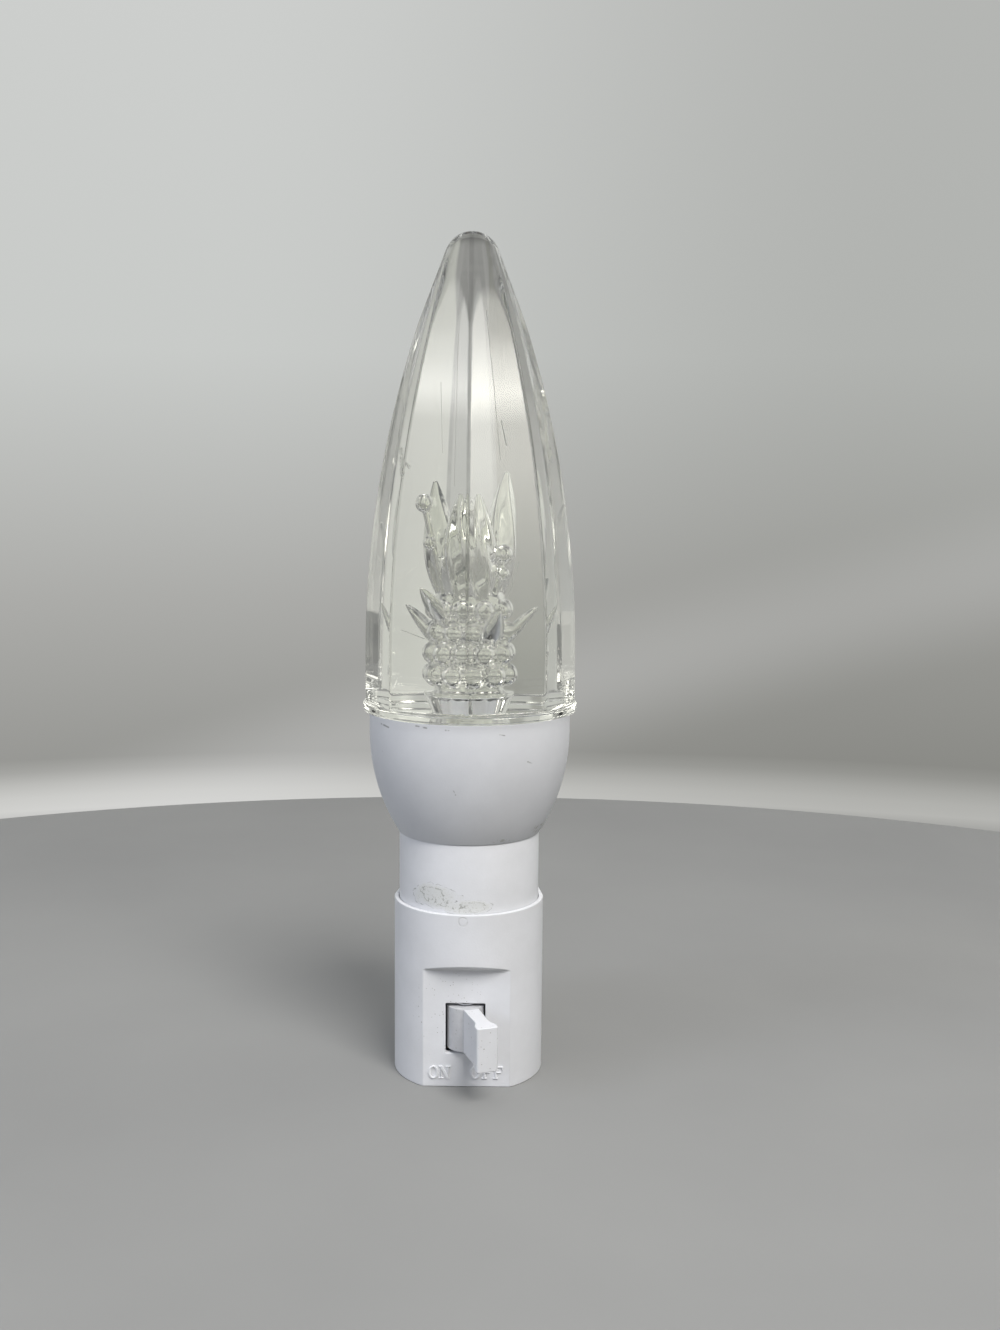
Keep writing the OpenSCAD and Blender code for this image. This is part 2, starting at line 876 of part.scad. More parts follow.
// One blade with its wide inner end, its wiring hole and its chamfered tip
module blade(side, hole_z) {
    y1 = base_back + blade_len;
    cut = 1.3;
    h = blade_h / 2;
    tail = blade_tail_h / 2;
    y_wall = base_back - back_wall;
    difference() {
        translate([side * blade_x - blade_t / 2, 0, blade_z])
            rotate([90, 0, 90])
                linear_extrude(height = blade_t)
                    polygon([
                        [blade_tail_y, -tail], [y_wall, -tail], [y_wall, -h],
                        [y1 - cut, -h], [y1, -h + cut], [y1, h - cut], [y1 - cut, h],
                        [y_wall, h], [y_wall, tail], [blade_tail_y, tail]
                    ]);
        translate([side * blade_x - blade_t, blade_hole_y, blade_z])
            rotate([0, 90, 0])
                cylinder(r = blade_hole_r, h = 2 * blade_t);
        rivet_hole(rivet_y, hole_z);
        // thin the tip on both faces
        for (face = [-1, 1])
            translate([side * blade_x + face * blade_t / 2, y1 - 2.2, blade_z])
                rotate([0, 0, face * 12])
                    translate([face > 0 ? 0 : -1, 0, -blade_h])
                        cube([1, 4, 2 * blade_h]);
    }
}

module blade_left() {
    color(steel)
        blade(-1, strap_z + strap_h / 2);
}

module blade_right() {
    color(steel)
        blade(1, line_z + strip_h / 2);
}

// A rivet along +X between two faces, with a head outside each
module rivet(x0, x1, y, z) {
    translate([x0 - rivet_head_t, y, z])
        rotate([0, 90, 0]) {
            cylinder(r = rivet_head_r, h = rivet_head_t);
            cylinder(r = rivet_r, h = x1 - x0 + rivet_head_t);
        }
    translate([x1, y, z])
        rotate([0, 90, 0])
            cylinder(r = rivet_head_r, h = rivet_head_t);
}

module rivets() {
    inner = strip_x - strip_t / 2;
    outer = blade_x + blade_t / 2;
    color(brass) {
        rivet(inner, outer, rivet_y, line_z + strip_h / 2);
        rivet(-outer, -inner, rivet_y, strap_z + strap_h / 2);
        translate([centre_x - strip_t / 2 - 2, post_y + post_l / 2, centre_z + strip_h / 2])
            rotate([0, 90, 0])
                cylinder(r = rivet_r, h = 2 + strip_t);
        translate([centre_x + strip_t / 2, post_y + post_l / 2, centre_z + strip_h / 2])
            rotate([0, 90, 0])
                cylinder(r = rivet_head_r, h = rivet_head_t);
    }
}

// ---------- lamp ----------

glass_h = bulb_len - lamp_nose_h - lamp_shell_h;
belly_h = 17;              // from the screw shell up to the lamp's widest place
glass_tip_r = 4;
neck_depth = 6;            // length of the glass inside the screw shell

// Radius of the lamp's glass at a height above the screw shell, from neck to widest place
function belly(z) = neck_r + (bulb_r - neck_r) * (1 - cos(180 * z / belly_h)) / 2;

// Half outline of the lamp's glass, drawn in by inset
module glass_outline(inset) {
    steps = 14;
    rise = glass_h - belly_h - glass_tip_r;
    fall = bulb_r - glass_tip_r - 0.4;
    arc = (rise * rise + fall * fall) / (2 * fall);
    polygon(concat(
        [[0, 0]],
        [for (i = [0 : steps]) [belly(i * belly_h / steps) - inset, i * belly_h / steps]],
        [[0, belly_h]]
    ));
    intersection() {
        translate([bulb_r - arc, belly_h])
            circle(r = arc - inset, $fn = 2 * fine / 3);
        rect(0, belly_h - 0.01, bulb_r, belly_h + rise + 1.2);
    }
    intersection() {
        translate([0, glass_h - glass_tip_r])
            circle(r = glass_tip_r + 0.2 - inset);
        rect(0, belly_h + rise, bulb_r, glass_h);
    }
}

module bulb_glass() {
    color(glass)
        translate([0, 0, lamp_shell_top])
            difference() {
                union() {
                    rotate_extrude()
                        glass_outline(0);
                    translate([0, 0, -neck_depth])
                        cylinder(r = neck_in_shell_r, h = neck_depth + 0.1);
                }
                rotate_extrude()
                    glass_outline(glass_t);
                translate([0, 0, -neck_depth - eps])
                    cylinder(r = neck_in_shell_r - glass_t, h = neck_depth + 2 * eps);
            }
}

stem_r = 1.6;
stem_bead_r = 2;
stem_bead_z = 8.5;
module bulb_stem() {
    color(glass)
        translate([0, 0, lamp_shell_top]) {
            translate([0, 0, 0.6 - neck_depth])
                cylinder(r1 = neck_in_shell_r - glass_t - seat_clear, r2 = stem_r, h = 5);
            translate([0, 0, 5.5 - neck_depth])
                cylinder(r = stem_r, h = stem_bead_z + neck_depth - 5.5);
            translate([0, 0, stem_bead_z])
                sphere(r = stem_bead_r);
        }
}

lead_x = 4.2;
lead_top = 20;
lead_r = 0.25;

// A round wire from the surface of the stem's bead to a point
module lead(end, r) {
    bead = [0, 0, stem_bead_z];
    d = end - bead;
    translate(bead)
        rotate([0, acos(d[2] / norm(d)), atan2(d[1], d[0])])
            translate([0, 0, stem_bead_r])
                cylinder(r = r, h = norm(d) - stem_bead_r, $fn = 24);
}

// Two leads that carry the filament's ends and a finer wire that props its middle
module bulb_leads() {
    color(steel)
        translate([0, 0, lamp_shell_top]) {
            for (side = [-1, 1])
                lead([side * lead_x, 0, lead_top - filament_r], lead_r);
            lead([0, 0, lead_top + filament_rise - filament_r], 0.7 * lead_r);
        }
}

filament_r = 0.35;
filament_rise = 2;

// The filament's coil, drawn as a solid arch over the tops of the leads
module bulb_filament() {
    arc = (lead_x * lead_x + filament_rise * filament_rise) / (2 * filament_rise);
    half = asin(lead_x / arc);
    color(steel)
        translate([0, 0, lamp_shell_top + lead_top])
            rotate([90, 0, 0])
                translate([0, filament_rise - arc, 0])
                    rotate([0, 0, 90 - half])
                        rotate_extrude(angle = 2 * half)
                            translate([arc, 0])
                                circle(r = filament_r, $fn = 24);
}

// Rolled screw shell: a thin tube with one bead for each turn of its thread
module bulb_screw_shell() {
    turns = floor((lamp_shell_h - 1.6) / thread_pitch);
    root_r = thread_r - bead_r;
    color(brass)
        translate([0, 0, lamp_shell_z])
            difference() {
                union() {
                    cylinder(r1 = insulator_r + 0.2, r2 = root_r, h = 1.4);
                    translate([0, 0, 1.3])
                        cylinder(r = root_r, h = lamp_shell_h - 1.3);
                    for (i = [0 : turns - 1])
                        translate([0, 0, 2.4 + i * thread_pitch])
                            rotate_extrude()
                                translate([root_r, 0])
                                    circle(r = bead_r, $fn = 32);
                }
                translate([0, 0, 0.9])
                    cylinder(r = lamp_shell_in_r, h = lamp_shell_h);
                translate([0, 0, -eps])
                    cylinder(r = contact_r + 0.6, h = 2);
            }
}

module bulb_insulator() {
    color([0.1, 0.1, 0.12])
        translate([0, 0, lamp_z + 0.7])
            difference() {
                cylinder(r1 = contact_r + 0.3, r2 = insulator_r, h = lamp_nose_h - 0.7);
                translate([0, 0, -eps])
                    cylinder(r = contact_r - 0.8, h = lamp_nose_h + eps);
            }
}

module bulb_contact() {
    color(steel)
        translate([0, 0, lamp_z]) {
            cylinder(r1 = contact_r - 0.7, r2 = contact_r, h = 0.7);
            translate([0, 0, 0.6])
                cylinder(r = contact_r - 0.8, h = lamp_nose_h - 0.7);
        }
}

dome();
cup();
collar();
front_shell();
back_shell();
case_screws();
switch_lever();
pivot_pin();
bridge_contact();
line_contact();
centre_contact();
shell_strap();
socket_shell();
blade_left();
blade_right();
rivets();
bulb_glass();
bulb_stem();
bulb_leads();
bulb_filament();
bulb_screw_shell();
bulb_insulator();
bulb_contact();
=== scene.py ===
from math import asin, atan2, ceil, cos, exp, pi, radians, sin, sqrt, tan

import bmesh
import bpy
from mathutils import Matrix, Vector, interpolate
from mathutils.bvhtree import BVHTree
from mathutils.geometry import interpolate_bezier


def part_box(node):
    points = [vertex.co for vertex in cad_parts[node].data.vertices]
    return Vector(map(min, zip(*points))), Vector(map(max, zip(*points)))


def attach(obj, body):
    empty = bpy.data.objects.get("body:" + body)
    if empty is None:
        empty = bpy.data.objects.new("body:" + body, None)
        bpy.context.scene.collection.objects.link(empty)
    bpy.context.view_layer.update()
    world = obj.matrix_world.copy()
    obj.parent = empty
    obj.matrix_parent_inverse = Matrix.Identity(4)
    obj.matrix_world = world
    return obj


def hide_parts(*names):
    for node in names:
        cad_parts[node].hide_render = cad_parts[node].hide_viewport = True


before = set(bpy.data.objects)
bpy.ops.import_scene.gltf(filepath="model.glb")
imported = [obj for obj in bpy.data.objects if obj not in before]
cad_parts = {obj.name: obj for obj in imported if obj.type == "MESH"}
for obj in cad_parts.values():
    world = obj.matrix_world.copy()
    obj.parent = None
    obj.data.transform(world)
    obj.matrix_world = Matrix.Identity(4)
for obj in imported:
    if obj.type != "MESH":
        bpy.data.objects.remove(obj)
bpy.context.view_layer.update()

SCENE = bpy.context.scene
MM = 0.001
TURN = 2 * pi


def box_mm(node):
    """A node's lowest and highest corner, in millimetres."""
    low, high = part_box(node)
    return low / MM, high / MM


def grey(value):
    return (value, value, value)


# ---------------------------------------------------------------- node helpers

class Signal:
    """An output of a node. Sums and products with it are nodes too, and [name] is another output of its node."""

    def __init__(self, node, name=0):
        self.node = node
        self.socket = node.outputs[name]

    def __getitem__(self, name):
        return Signal(self.node, name)

    def __add__(self, other):
        return maths("ADD", self, other)

    def __sub__(self, other):
        return maths("SUBTRACT", self, other)

    def __rsub__(self, other):
        return maths("SUBTRACT", other, self)

    def __mul__(self, other):
        return maths("MULTIPLY", self, other)

    def __truediv__(self, other):
        return maths("DIVIDE", self, other)

    def __rtruediv__(self, other):
        return maths("DIVIDE", other, self)

    def __abs__(self):
        return maths("ABSOLUTE", self)


def plug(socket, value):
    """Sets a socket to a plain value, or joins a signal to it."""
    if isinstance(value, Signal):
        socket.id_data.links.new(value.socket, socket)
    else:
        socket.default_value = (*value, 1) if socket.type == "RGBA" else value


def add(tree, kind, *inputs, **values):
    """A new node's first output. inputs go to its sockets in their order, values to properties or sockets by name."""
    node = tree.nodes.new(kind)
    for name, value in values.items():
        socket = node.inputs.get(name.replace("_", " "))
        if socket is None:
            setattr(node, name, value)
        else:
            plug(socket, value)
    for socket, value in zip(node.inputs, inputs):
        plug(socket, value)
    return Signal(node)


def tree_of(*values):
    """The node tree of the first signal among some values."""
    return next(value for value in values if isinstance(value, Signal)).node.id_data


def maths(operation, a, b=0.0):
    return add(tree_of(a, b), "ShaderNodeMath", a, b, operation=operation)


def vectors(operation, a, *more, **values):
    return add(tree_of(a, *more, *values.values()), "ShaderNodeVectorMath", a, *more, operation=operation, **values)


def apart(vector):
    """A vector's x, y and z."""
    parts = add(tree_of(vector), "ShaderNodeSeparateXYZ", vector)
    return parts, parts["Y"], parts["Z"]


def here(tree):
    """The place on the piece, in metres."""
    return add(tree, "ShaderNodeTexCoord")["Object"]


def noise(tree, scale, detail=4.0, roughness=0.55, **values):
    values.setdefault("Vector", here(tree))
    return add(tree, "ShaderNodeTexNoise", Scale=scale, Detail=detail, Roughness=roughness, **values)


def ramp(source, stops):
    """A colour ramp with stops of place and colour."""
    found = add(tree_of(source), "ShaderNodeValToRGB", source)
    elements = found.node.color_ramp.elements
    while len(elements) < len(stops):
        elements.new(0.5)
    for element, (place, colour) in zip(elements, stops):
        element.position = place
        element.color = (*colour, 1)
    return found


def steps(source, low, high, to_low=0.0, to_high=1.0):
    """Source eased from low..high to to_low..to_high."""
    return add(tree_of(source), "ShaderNodeMapRange", source, low, high, to_low, to_high,
               interpolation_type="SMOOTHSTEP")


def blend(share, a, b):
    """Colour a turned into b by share."""
    node = add(tree_of(share), "ShaderNodeMix", data_type="RGBA").node
    sockets = {socket.identifier: socket for socket in node.inputs}
    for name, value in (("Factor_Float", share), ("A_Color", a), ("B_Color", b)):
        plug(sockets[name], value)
    return Signal(node, [socket.identifier for socket in node.outputs].index("Result_Color"))


def strongest(masks):
    total = masks[0]
    for mask in masks[1:]:
        total = maths("MAXIMUM", total, mask)
    return total


def distance(x, y):
    return maths("SQRT", x * x + y * y)


def number_inputs(tree, numbers):
    """Gives a tree an input for each named number, with that as its default."""
    made = {}
    for label, value in numbers.items():
        kind = "NodeSocketInt" if isinstance(value, int) else "NodeSocketFloat"
        made[label] = tree.interface.new_socket(label, in_out="INPUT", socket_type=kind)
        made[label].default_value = value
    return made


def new_group(name, numbers, outputs):
    """An empty shader group with named numbers in and out: the group, what it is given, and its output's sockets."""
    group = bpy.data.node_groups.new(name, "ShaderNodeTree")
    number_inputs(group, numbers)
    for label in outputs:
        group.interface.new_socket(label, in_out="OUTPUT", socket_type="NodeSocketFloat")
    return group, Signal(group.nodes.new("NodeGroupInput")), group.nodes.new("NodeGroupOutput").inputs


def use_group(tree, group, **values):
    return add(tree, "ShaderNodeGroup", node_tree=group, **values)


# ---------------------------------------------------------------- camera and studio

CAMERA_AT = Vector((8.77, -297.15, 122.07))
CAMERA_PITCH = 0.1324      # looking down, radians
CAMERA_YAW = -0.0096
CAMERA_ROLL = 0.0082
CAMERA_FOCAL = 1510.96     # in pixels of the image
IMAGE_HEIGHT = 1330
SENSOR = 36
NEAREST = 0.01

LIGHT_AIM = Vector((0, 0, 0.08))
# name, azimuth, elevation, distance, size, power, colour
LIGHTS = [
    ("key_light", 26, 46, 0.9, 0.4, 7.4, (1.0, 0.985, 0.965)),
    ("fill_light", -60, 20, 1.0, 0.4, 2.8, (0.78, 0.85, 1.0)),
    ("top_light", 0, 80, 0.8, 0.9, 2.9, (0.97, 0.98, 1.0)),
]

# windows that shiny surfaces mirror: azimuth, half width in degrees, colour, strength over elevation
WINDOWS = [
    (43, 17, (1.0, 0.98, 0.9), [(-8, 0.0), (6, 0.12), (14, 0.26), (18, 0.34), (23, 0.36), (27, 0.82), (31, 0.56),
                                (35, 0.3), (38.5, 0.25), (40.5, 0.0)]),
    (-47, 17, (0.99, 0.985, 0.94), [(-8, 0.04), (6, 0.03), (18, 0.06), (23, 0.1), (27, 0.44), (31, 0.24),
                                    (35, 0.18), (38.5, 0.16), (40.5, 0.0)]),
]
WINDOW_STRENGTH = 19.0
WINDOW_EDGE = 5            # softness of a window's sides, in degrees
WINDOW_FILL = 0.03         # share of a window's light that reaches matt surfaces
WINDOW_THROUGH = 0.55      # share of a window's light that is seen through clear pieces
STREAK_SLOPE = 0.3         # rise of the backdrop's pale streak towards the right
STREAK_HEIGHT = -9         # its elevation straight behind the object
BEHIND = (85, 128)         # degrees from the front between which the room turns into the backdrop

# colours over elevation
ROOM_TOP = (0.09, 0.095, 0.1)
ROOM = [(-20, grey(0.1)), (15, (0.16, 0.165, 0.165)), (60, ROOM_TOP)]
BACKDROP = [
    (-30, grey(0.2)), (-13.5, grey(0.3)), (-12.7, (0.62, 0.62, 0.6)), (-12, (0.56, 0.56, 0.54)),
    (-11, (0.31, 0.31, 0.295)), (-5, (0.41, 0.41, 0.395)), (4, (0.58, 0.595, 0.58)), (25, (0.63, 0.64, 0.63)),
    (55, ROOM_TOP),
]
SEEN_THROUGH = [
    (-30, grey(0.2)), (-15, grey(0.33)), (-14.4, grey(0.44)), (-12.6, grey(0.5)), (-5, (0.52, 0.53, 0.5)),
    (25, (0.6, 0.61, 0.59)), (48, grey(0.5)), (62, grey(0.4)), (75, ROOM_TOP),
]

FLOOR_MIDDLE = Vector((0, -0.1, 0))
FLOOR_RADIUS = 0.35
FLOOR_DULL = [(0.3, (0.16, 0.16, 0.157)), (0.7, (0.187, 0.187, 0.182))]
FLOOR_PALE = [(0.3, (0.265, 0.265, 0.26)), (0.7, (0.3, 0.3, 0.293))]


def make_camera():
    forward = Vector((
        sin(CAMERA_YAW) * cos(CAMERA_PITCH),
        cos(CAMERA_YAW) * cos(CAMERA_PITCH),
        -sin(CAMERA_PITCH),
    ))
    level = Vector((cos(CAMERA_YAW), -sin(CAMERA_YAW), 0))
    upright = level.cross(forward)
    right = level * cos(CAMERA_ROLL) + upright * sin(CAMERA_ROLL)
    up = upright * cos(CAMERA_ROLL) - level * sin(CAMERA_ROLL)
    data = bpy.data.cameras.new("camera")
    data.sensor_width = SENSOR
    data.lens = CAMERA_FOCAL * SENSOR / IMAGE_HEIGHT
    data.clip_start = NEAREST
    camera = bpy.data.objects.new("camera", data)
    camera.matrix_world = Matrix.Translation(CAMERA_AT * MM) @ Matrix((right, up, -forward)).transposed().to_4x4()
    SCENE.collection.objects.link(camera)
    SCENE.camera = camera


def soft_light(name, azimuth, elevation, away, size, power, colour):
    """A square light aimed at the dome's foot, seen by no mirror or glass. Azimuth 0 is in front, 90 to the right."""
    a, e = radians(azimuth), radians(elevation)
    out = Vector((sin(a) * cos(e), -cos(a) * cos(e), sin(e)))
    data = bpy.data.lights.new(name, "AREA")
    data.shape = "SQUARE"
    data.size = size
    data.energy = power
    data.color = colour
    light = bpy.data.objects.new(name, data)
    light.matrix_world = Matrix.Translation(LIGHT_AIM + out * away) @ out.to_track_quat("Z", "Y").to_matrix().to_4x4()
    light.visible_camera = light.visible_glossy = light.visible_transmission = False
    SCENE.collection.objects.link(light)


def sky_ramp(rise, stops):
    """Colours over elevation, on a rise that is 0 straight down and 1 straight up."""
    return ramp(rise, [((sin(radians(elevation)) + 1) / 2, colour) for elevation, colour in stops])


def make_sky():
    """A pale backdrop, a smoother one for clear pieces and mirrors, a darker room round them and two windows."""
    world = bpy.data.worlds.new("studio")
    SCENE.world = world
    world.use_nodes = True
    world.cycles.sampling_method = "NONE"   # the windows' strength depends on the ray that meets them
    tree = world.node_tree
    x, y, z = apart(add(tree, "ShaderNodeTexCoord"))
    rise = (z + 1.0) * 0.5
    turn = maths("ARCTAN2", x, y * -1.0)
    rays = add(tree, "ShaderNodeLightPath")

    streak = abs(z - x * STREAK_SLOPE - sin(radians(STREAK_HEIGHT)))
    backdrop = blend(steps(streak, 0.0, 0.06, 0.24, 0.0), sky_ramp(rise, BACKDROP), grey(0.8))
    backdrop = blend(steps(x, -0.2, 0.25, 0.0, 0.32), backdrop, (0.14, 0.14, 0.12))
    through = blend(steps(x, 0.3, 0.4, 0.0, 0.34), sky_ramp(rise, SEEN_THROUGH), (0.85, 0.86, 0.8))
    through = blend(steps(abs(x + 0.46), 0.04, 0.085, 0.52, 0.0), through, (0.2, 0.2, 0.18))
    behind = steps(abs(turn), *map(radians, BEHIND))
    light = blend(rays["Is Camera Ray"], blend(behind, sky_ramp(rise, ROOM), through), backdrop)

    power = steps(rays["Is Diffuse Ray"], 0.0, 1.0, WINDOW_STRENGTH, WINDOW_STRENGTH * WINDOW_FILL)
    power = power * steps(rays["Is Transmission Ray"], 0.0, 1.0, 1.0, WINDOW_THROUGH)
    power = power * steps(rays["Is Camera Ray"], 0.0, 1.0, 1.0, 0.0)
    for azimuth, half_width, colour, stops in WINDOWS:
        profile = sky_ramp(rise, [(elevation, grey(share)) for elevation, share in stops])
        aside = abs(turn - radians(azimuth))
        inside = steps(aside, radians(half_width - WINDOW_EDGE), radians(half_width), 1.0, 0.0)
        glow = vectors("SCALE", profile, Scale=inside * power)
        light = vectors("MULTIPLY_ADD", glow, colour, light)
    plug(tree.nodes["Background"].inputs["Color"], light)


def make_floor():
    """A round pale table top whose far edge shows behind the object. It throws less light back than it shows."""
    bm = bmesh.new()
    bmesh.ops.create_circle(bm, cap_ends=True, segments=160, radius=FLOOR_RADIUS,
                            matrix=Matrix.Translation(FLOOR_MIDDLE))
    mesh = bpy.data.meshes.new("floor")
    bm.to_mesh(mesh)
    bm.free()
    floor = bpy.data.objects.new("floor", mesh)
    SCENE.collection.objects.link(floor)
    material, tree = new_material("pale_floor")
    grain = noise(tree, 9.0, roughness=0.5)
    rays = add(tree, "ShaderNodeLightPath")
    seen = maths("MAXIMUM", rays["Is Camera Ray"],
                 maths("MAXIMUM", rays["Is Glossy Ray"], rays["Is Transmission Ray"]))
    dress(tree, Base_Color=blend(seen, ramp(grain, FLOOR_DULL), ramp(grain, FLOOR_PALE)), Roughness=0.75)
    mesh.materials.append(material)


# ---------------------------------------------------------------- shared surface effects

def moulded_surface():
    """Mottling, the height of shallow waves and fine grain, and the play of shine. Scales are per metre."""
    group, given, out = new_group(
        "moulded_surface",
        {"Mottle Scale": 90.0, "Grain Scale": 2600.0, "Wave Scale": 120.0, "Grain Share": 0.3},
        ("Mottle", "Height", "Shine"),
    )
    mottle = noise(group, given["Mottle Scale"], 5.0, 0.62)
    grain = noise(group, given["Grain Scale"], 3.0, 0.5)
    wave = noise(group, given["Wave Scale"], 1.0, 0.3)
    plug(out["Mottle"], steps(mottle, 0.32, 0.68))
    plug(out["Height"], wave + grain * given["Grain Share"])
    plug(out["Shine"], mottle * 0.6 + grain * 0.4)
    return group


def fine_scratches():
    """Fine scratches in two directions, thinned out by a slow noise."""
    group, given, out = new_group(
        "fine_scratches", {"Scale": 60.0, "Stretch": 14.0, "Width": 0.03, "Amount": 0.5}, ("Scratch",))
    lines = []
    for angle, seed in ((0.35, 3.1), (-0.9, 7.7)):
        turned_place = add(group, "ShaderNodeVectorRotate", here(group), rotation_type="EULER_XYZ",
                           Rotation=(angle, 0.4 * angle, seed))
        stretch = add(group, "ShaderNodeCombineXYZ", 1.0, 1.0, 1.0 / given["Stretch"])
        cells = noise(group, given["Scale"], 2.0, 0.5, noise_dimensions="4D", W=seed,
                      Vector=vectors("MULTIPLY", turned_place, stretch))
        lines.append(steps(abs(cells - 0.5), 0.0, given["Width"], 1.0, 0.0))
    limit = 1.0 - given["Amount"]
    keep = steps(noise(group, 70.0, 2.0, 0.5), limit, limit + 0.12)
    plug(out["Scratch"], strongest(lines) * keep)
    return group


def dirt_specks():
    """Small dark specks of dirt, one to a cell, in a chosen share of the cells."""
    group, given, out = new_group("dirt_specks", {"Scale": 500.0, "Size": 0.12, "Amount": 0.3}, ("Speck",))
    cells = add(group, "ShaderNodeTexVoronoi", Vector=here(group), Scale=given["Scale"], Randomness=1.0)
    pick, share, _ = apart(cells["Color"])
    size = given["Size"] * share
    dot = steps(cells["Distance"], size * 0.5, size, 1.0, 0.0)
    plug(out["Speck"], dot * maths("LESS_THAN", pick, given["Amount"]))
    return group


SURFACE = moulded_surface()
SCRATCH = fine_scratches()
SPECK = dirt_specks()


# ---------------------------------------------------------------- materials

ACRYLIC_CLEAR = (0.965, 0.97, 0.925)
ACRYLIC_DULL = (0.945, 0.952, 0.9)
ACRYLIC_SHADE = 0.92       # share of light that gets through to what is behind
LAMP_SHADE = 0.95
WHITE_CLEAN = (0.80, 0.805, 0.83)
WHITE_AGED = (0.755, 0.76, 0.78)
# painted highlight: the raised letters are a lighter white than the panel, as if catching the light
LETTER_LIT = (0.9, 0.905, 0.92)
CUP_CLEAN = (0.728, 0.736, 0.76)
CUP_AGED = (0.692, 0.699, 0.722)
DUST = {"Scale": 1900.0, "Size": 0.34}

# heights of the surface's relief, in metres
PLASTIC_RELIEF = 0.00006
ACRYLIC_RELIEF = 0.00002
METAL_RELIEF = 0.00002
LAMP_GLASS_RELIEF = 0.00005
BLACK_GLASS_RELIEF = 0.00004

# marks on the front: start, end and width in millimetres, as (x, z)
DOME_SCRATCHES = [
    ((2.9, 150.5), (4.4, 137.0), 0.07),
    ((4.4, 137.0), (5.8, 122.8), 0.07),
    ((5.9, 130.0), (6.9, 125.5), 0.14),
    ((-12.4, 91.0), (-8.0, 89.6), 0.1),
    ((-5.4, 137.0), (-4.9, 124.0), 0.05),
    ((-2.2, 146.0), (-2.6, 118.0), 0.05),
    ((9.4, 104.0), (7.2, 96.5), 0.05),
]
DOME_CHIPS = [
    ((-12.9, 124.6), (-12.5, 119.6), 0.5),
    ((-11.9, 122.0), (-11.2, 121.4), 0.35),
]
CUP_SCUFFS = [
    ((-16.9, 72.4), (-15.2, 72.0), 0.22),
    ((-9.6, 73.1), (-7.6, 72.9), 0.2),
    ((-4.0, 72.7), (-3.1, 72.6), 0.16),
    ((6.2, 71.8), (7.4, 71.6), 0.14),
    ((11.5, 66.2), (12.2, 65.8), 0.18),
    ((-2.5, 61.0), (-2.1, 60.2), 0.18),
]
GATE_MARK = (-0.7, -14.98, 34.4)
GATE_RADIUS = 0.85
LEVER_PIN = (-0.2, -10.0)


def new_material(name):
    material = bpy.data.materials.new(name)
    material.use_nodes = True
    material.node_tree.nodes["Principled BSDF"].name = "shader"
    return material, material.node_tree


def dress(tree, **values):
    """Sets or feeds the sockets of a material's shader."""
    for label, value in values.items():
        plug(tree.nodes["shader"].inputs[label.replace("_", " ")], value)


def relief(height, distance_m):
    """A normal from a height that is in metres when times distance_m."""
    return add(tree_of(height), "ShaderNodeBump", Distance=distance_m, Strength=1.0, Height=height)


def let_light_through(tree, share):
    """Lets rays from the lamps reach what is behind a clear piece."""
    see = add(tree, "ShaderNodeBsdfTransparent", Color=grey(share))
    shadow = add(tree, "ShaderNodeLightPath")["Is Shadow Ray"]
    mixed = add(tree, "ShaderNodeMixShader", shadow, Signal(tree.nodes["shader"]), see)
    plug(tree.nodes["Material Output"].inputs["Surface"], mixed)


def white_plastic(name, clean, aged, roughness, specks, marks=None):
    """Moulded white plastic with faint mottling, grain and a few specks. marks adds those of one piece."""
    material, tree = new_material(name)
    surface = use_group(tree, SURFACE)
    dirt = use_group(tree, SPECK, Scale=420.0, Size=0.16, Amount=specks)
    colour = blend(dirt * 0.55, blend(surface["Mottle"], clean, aged), (0.23, 0.22, 0.2))
    rough = steps(surface["Shine"], 0.3, 0.7, roughness - 0.06, roughness + 0.08)
    height = surface["Height"]
    if marks:
        colour, rough, height = marks(tree, colour, rough, height)
    dress(tree, Base_Color=colour, Roughness=rough, Normal=relief(height, PLASTIC_RELIEF),
          IOR=1.5, Specular_IOR_Level=0.2)
    return material


def clear_acrylic():
    material, tree = new_material("clear_acrylic")
    surface = use_group(tree, SURFACE, Mottle_Scale=60.0, Grain_Scale=900.0, Wave_Scale=50.0, Grain_Share=0.003)
    scratch = use_group(tree, SCRATCH, Scale=34.0, Stretch=16.0, Width=0.01, Amount=0.42)
    long_scratch = strokes(tree, DOME_SCRATCHES)
    chip = strokes(tree, DOME_CHIPS) * steps(noise(tree, 1500.0, 3.0, 0.5), 0.42, 0.56)
    haze = steps(surface["Mottle"], 0.2, 1.0, 0.008, 0.04)
    wear = scratch * 0.2 + strongest([long_scratch, chip]) * 0.5
    colour = blend(surface["Mottle"], ACRYLIC_CLEAR, ACRYLIC_DULL)
    colour = blend(long_scratch * 0.45, colour, (0.3, 0.29, 0.25))
    # painted shade: a dark line along the dome's upright edges
    colour = blend(edge_shade_lines(tree) * 0.5, colour, (0.4, 0.4, 0.38))
    height = surface["Height"] - scratch * 0.3 - chip * 6.0
    dress(tree, Base_Color=colour, Roughness=haze + wear, Normal=relief(height, ACRYLIC_RELIEF),
          IOR=1.49, Transmission_Weight=1.0)
    let_light_through(tree, ACRYLIC_SHADE)
    return material


def metal(name, bright, dull, roughness, scratch_scale=90.0):
    """Worn metal with fine scratches and slow tarnish."""
    material, tree = new_material(name)
    surface = use_group(tree, SURFACE, Mottle_Scale=160.0, Grain_Scale=3800.0, Wave_Scale=260.0)
    scratch = use_group(tree, SCRATCH, Scale=scratch_scale, Stretch=10.0, Width=0.02, Amount=0.55)
    colour = blend(scratch * 0.5, blend(surface["Mottle"], bright, dull), bright)
    rough = steps(surface["Shine"], 0.3, 0.7, roughness * 0.75, roughness * 1.4)
    dress(tree, Base_Color=colour, Roughness=rough, Normal=relief(surface["Height"] - scratch * 0.4, METAL_RELIEF),
          Metallic=1.0)
    return material


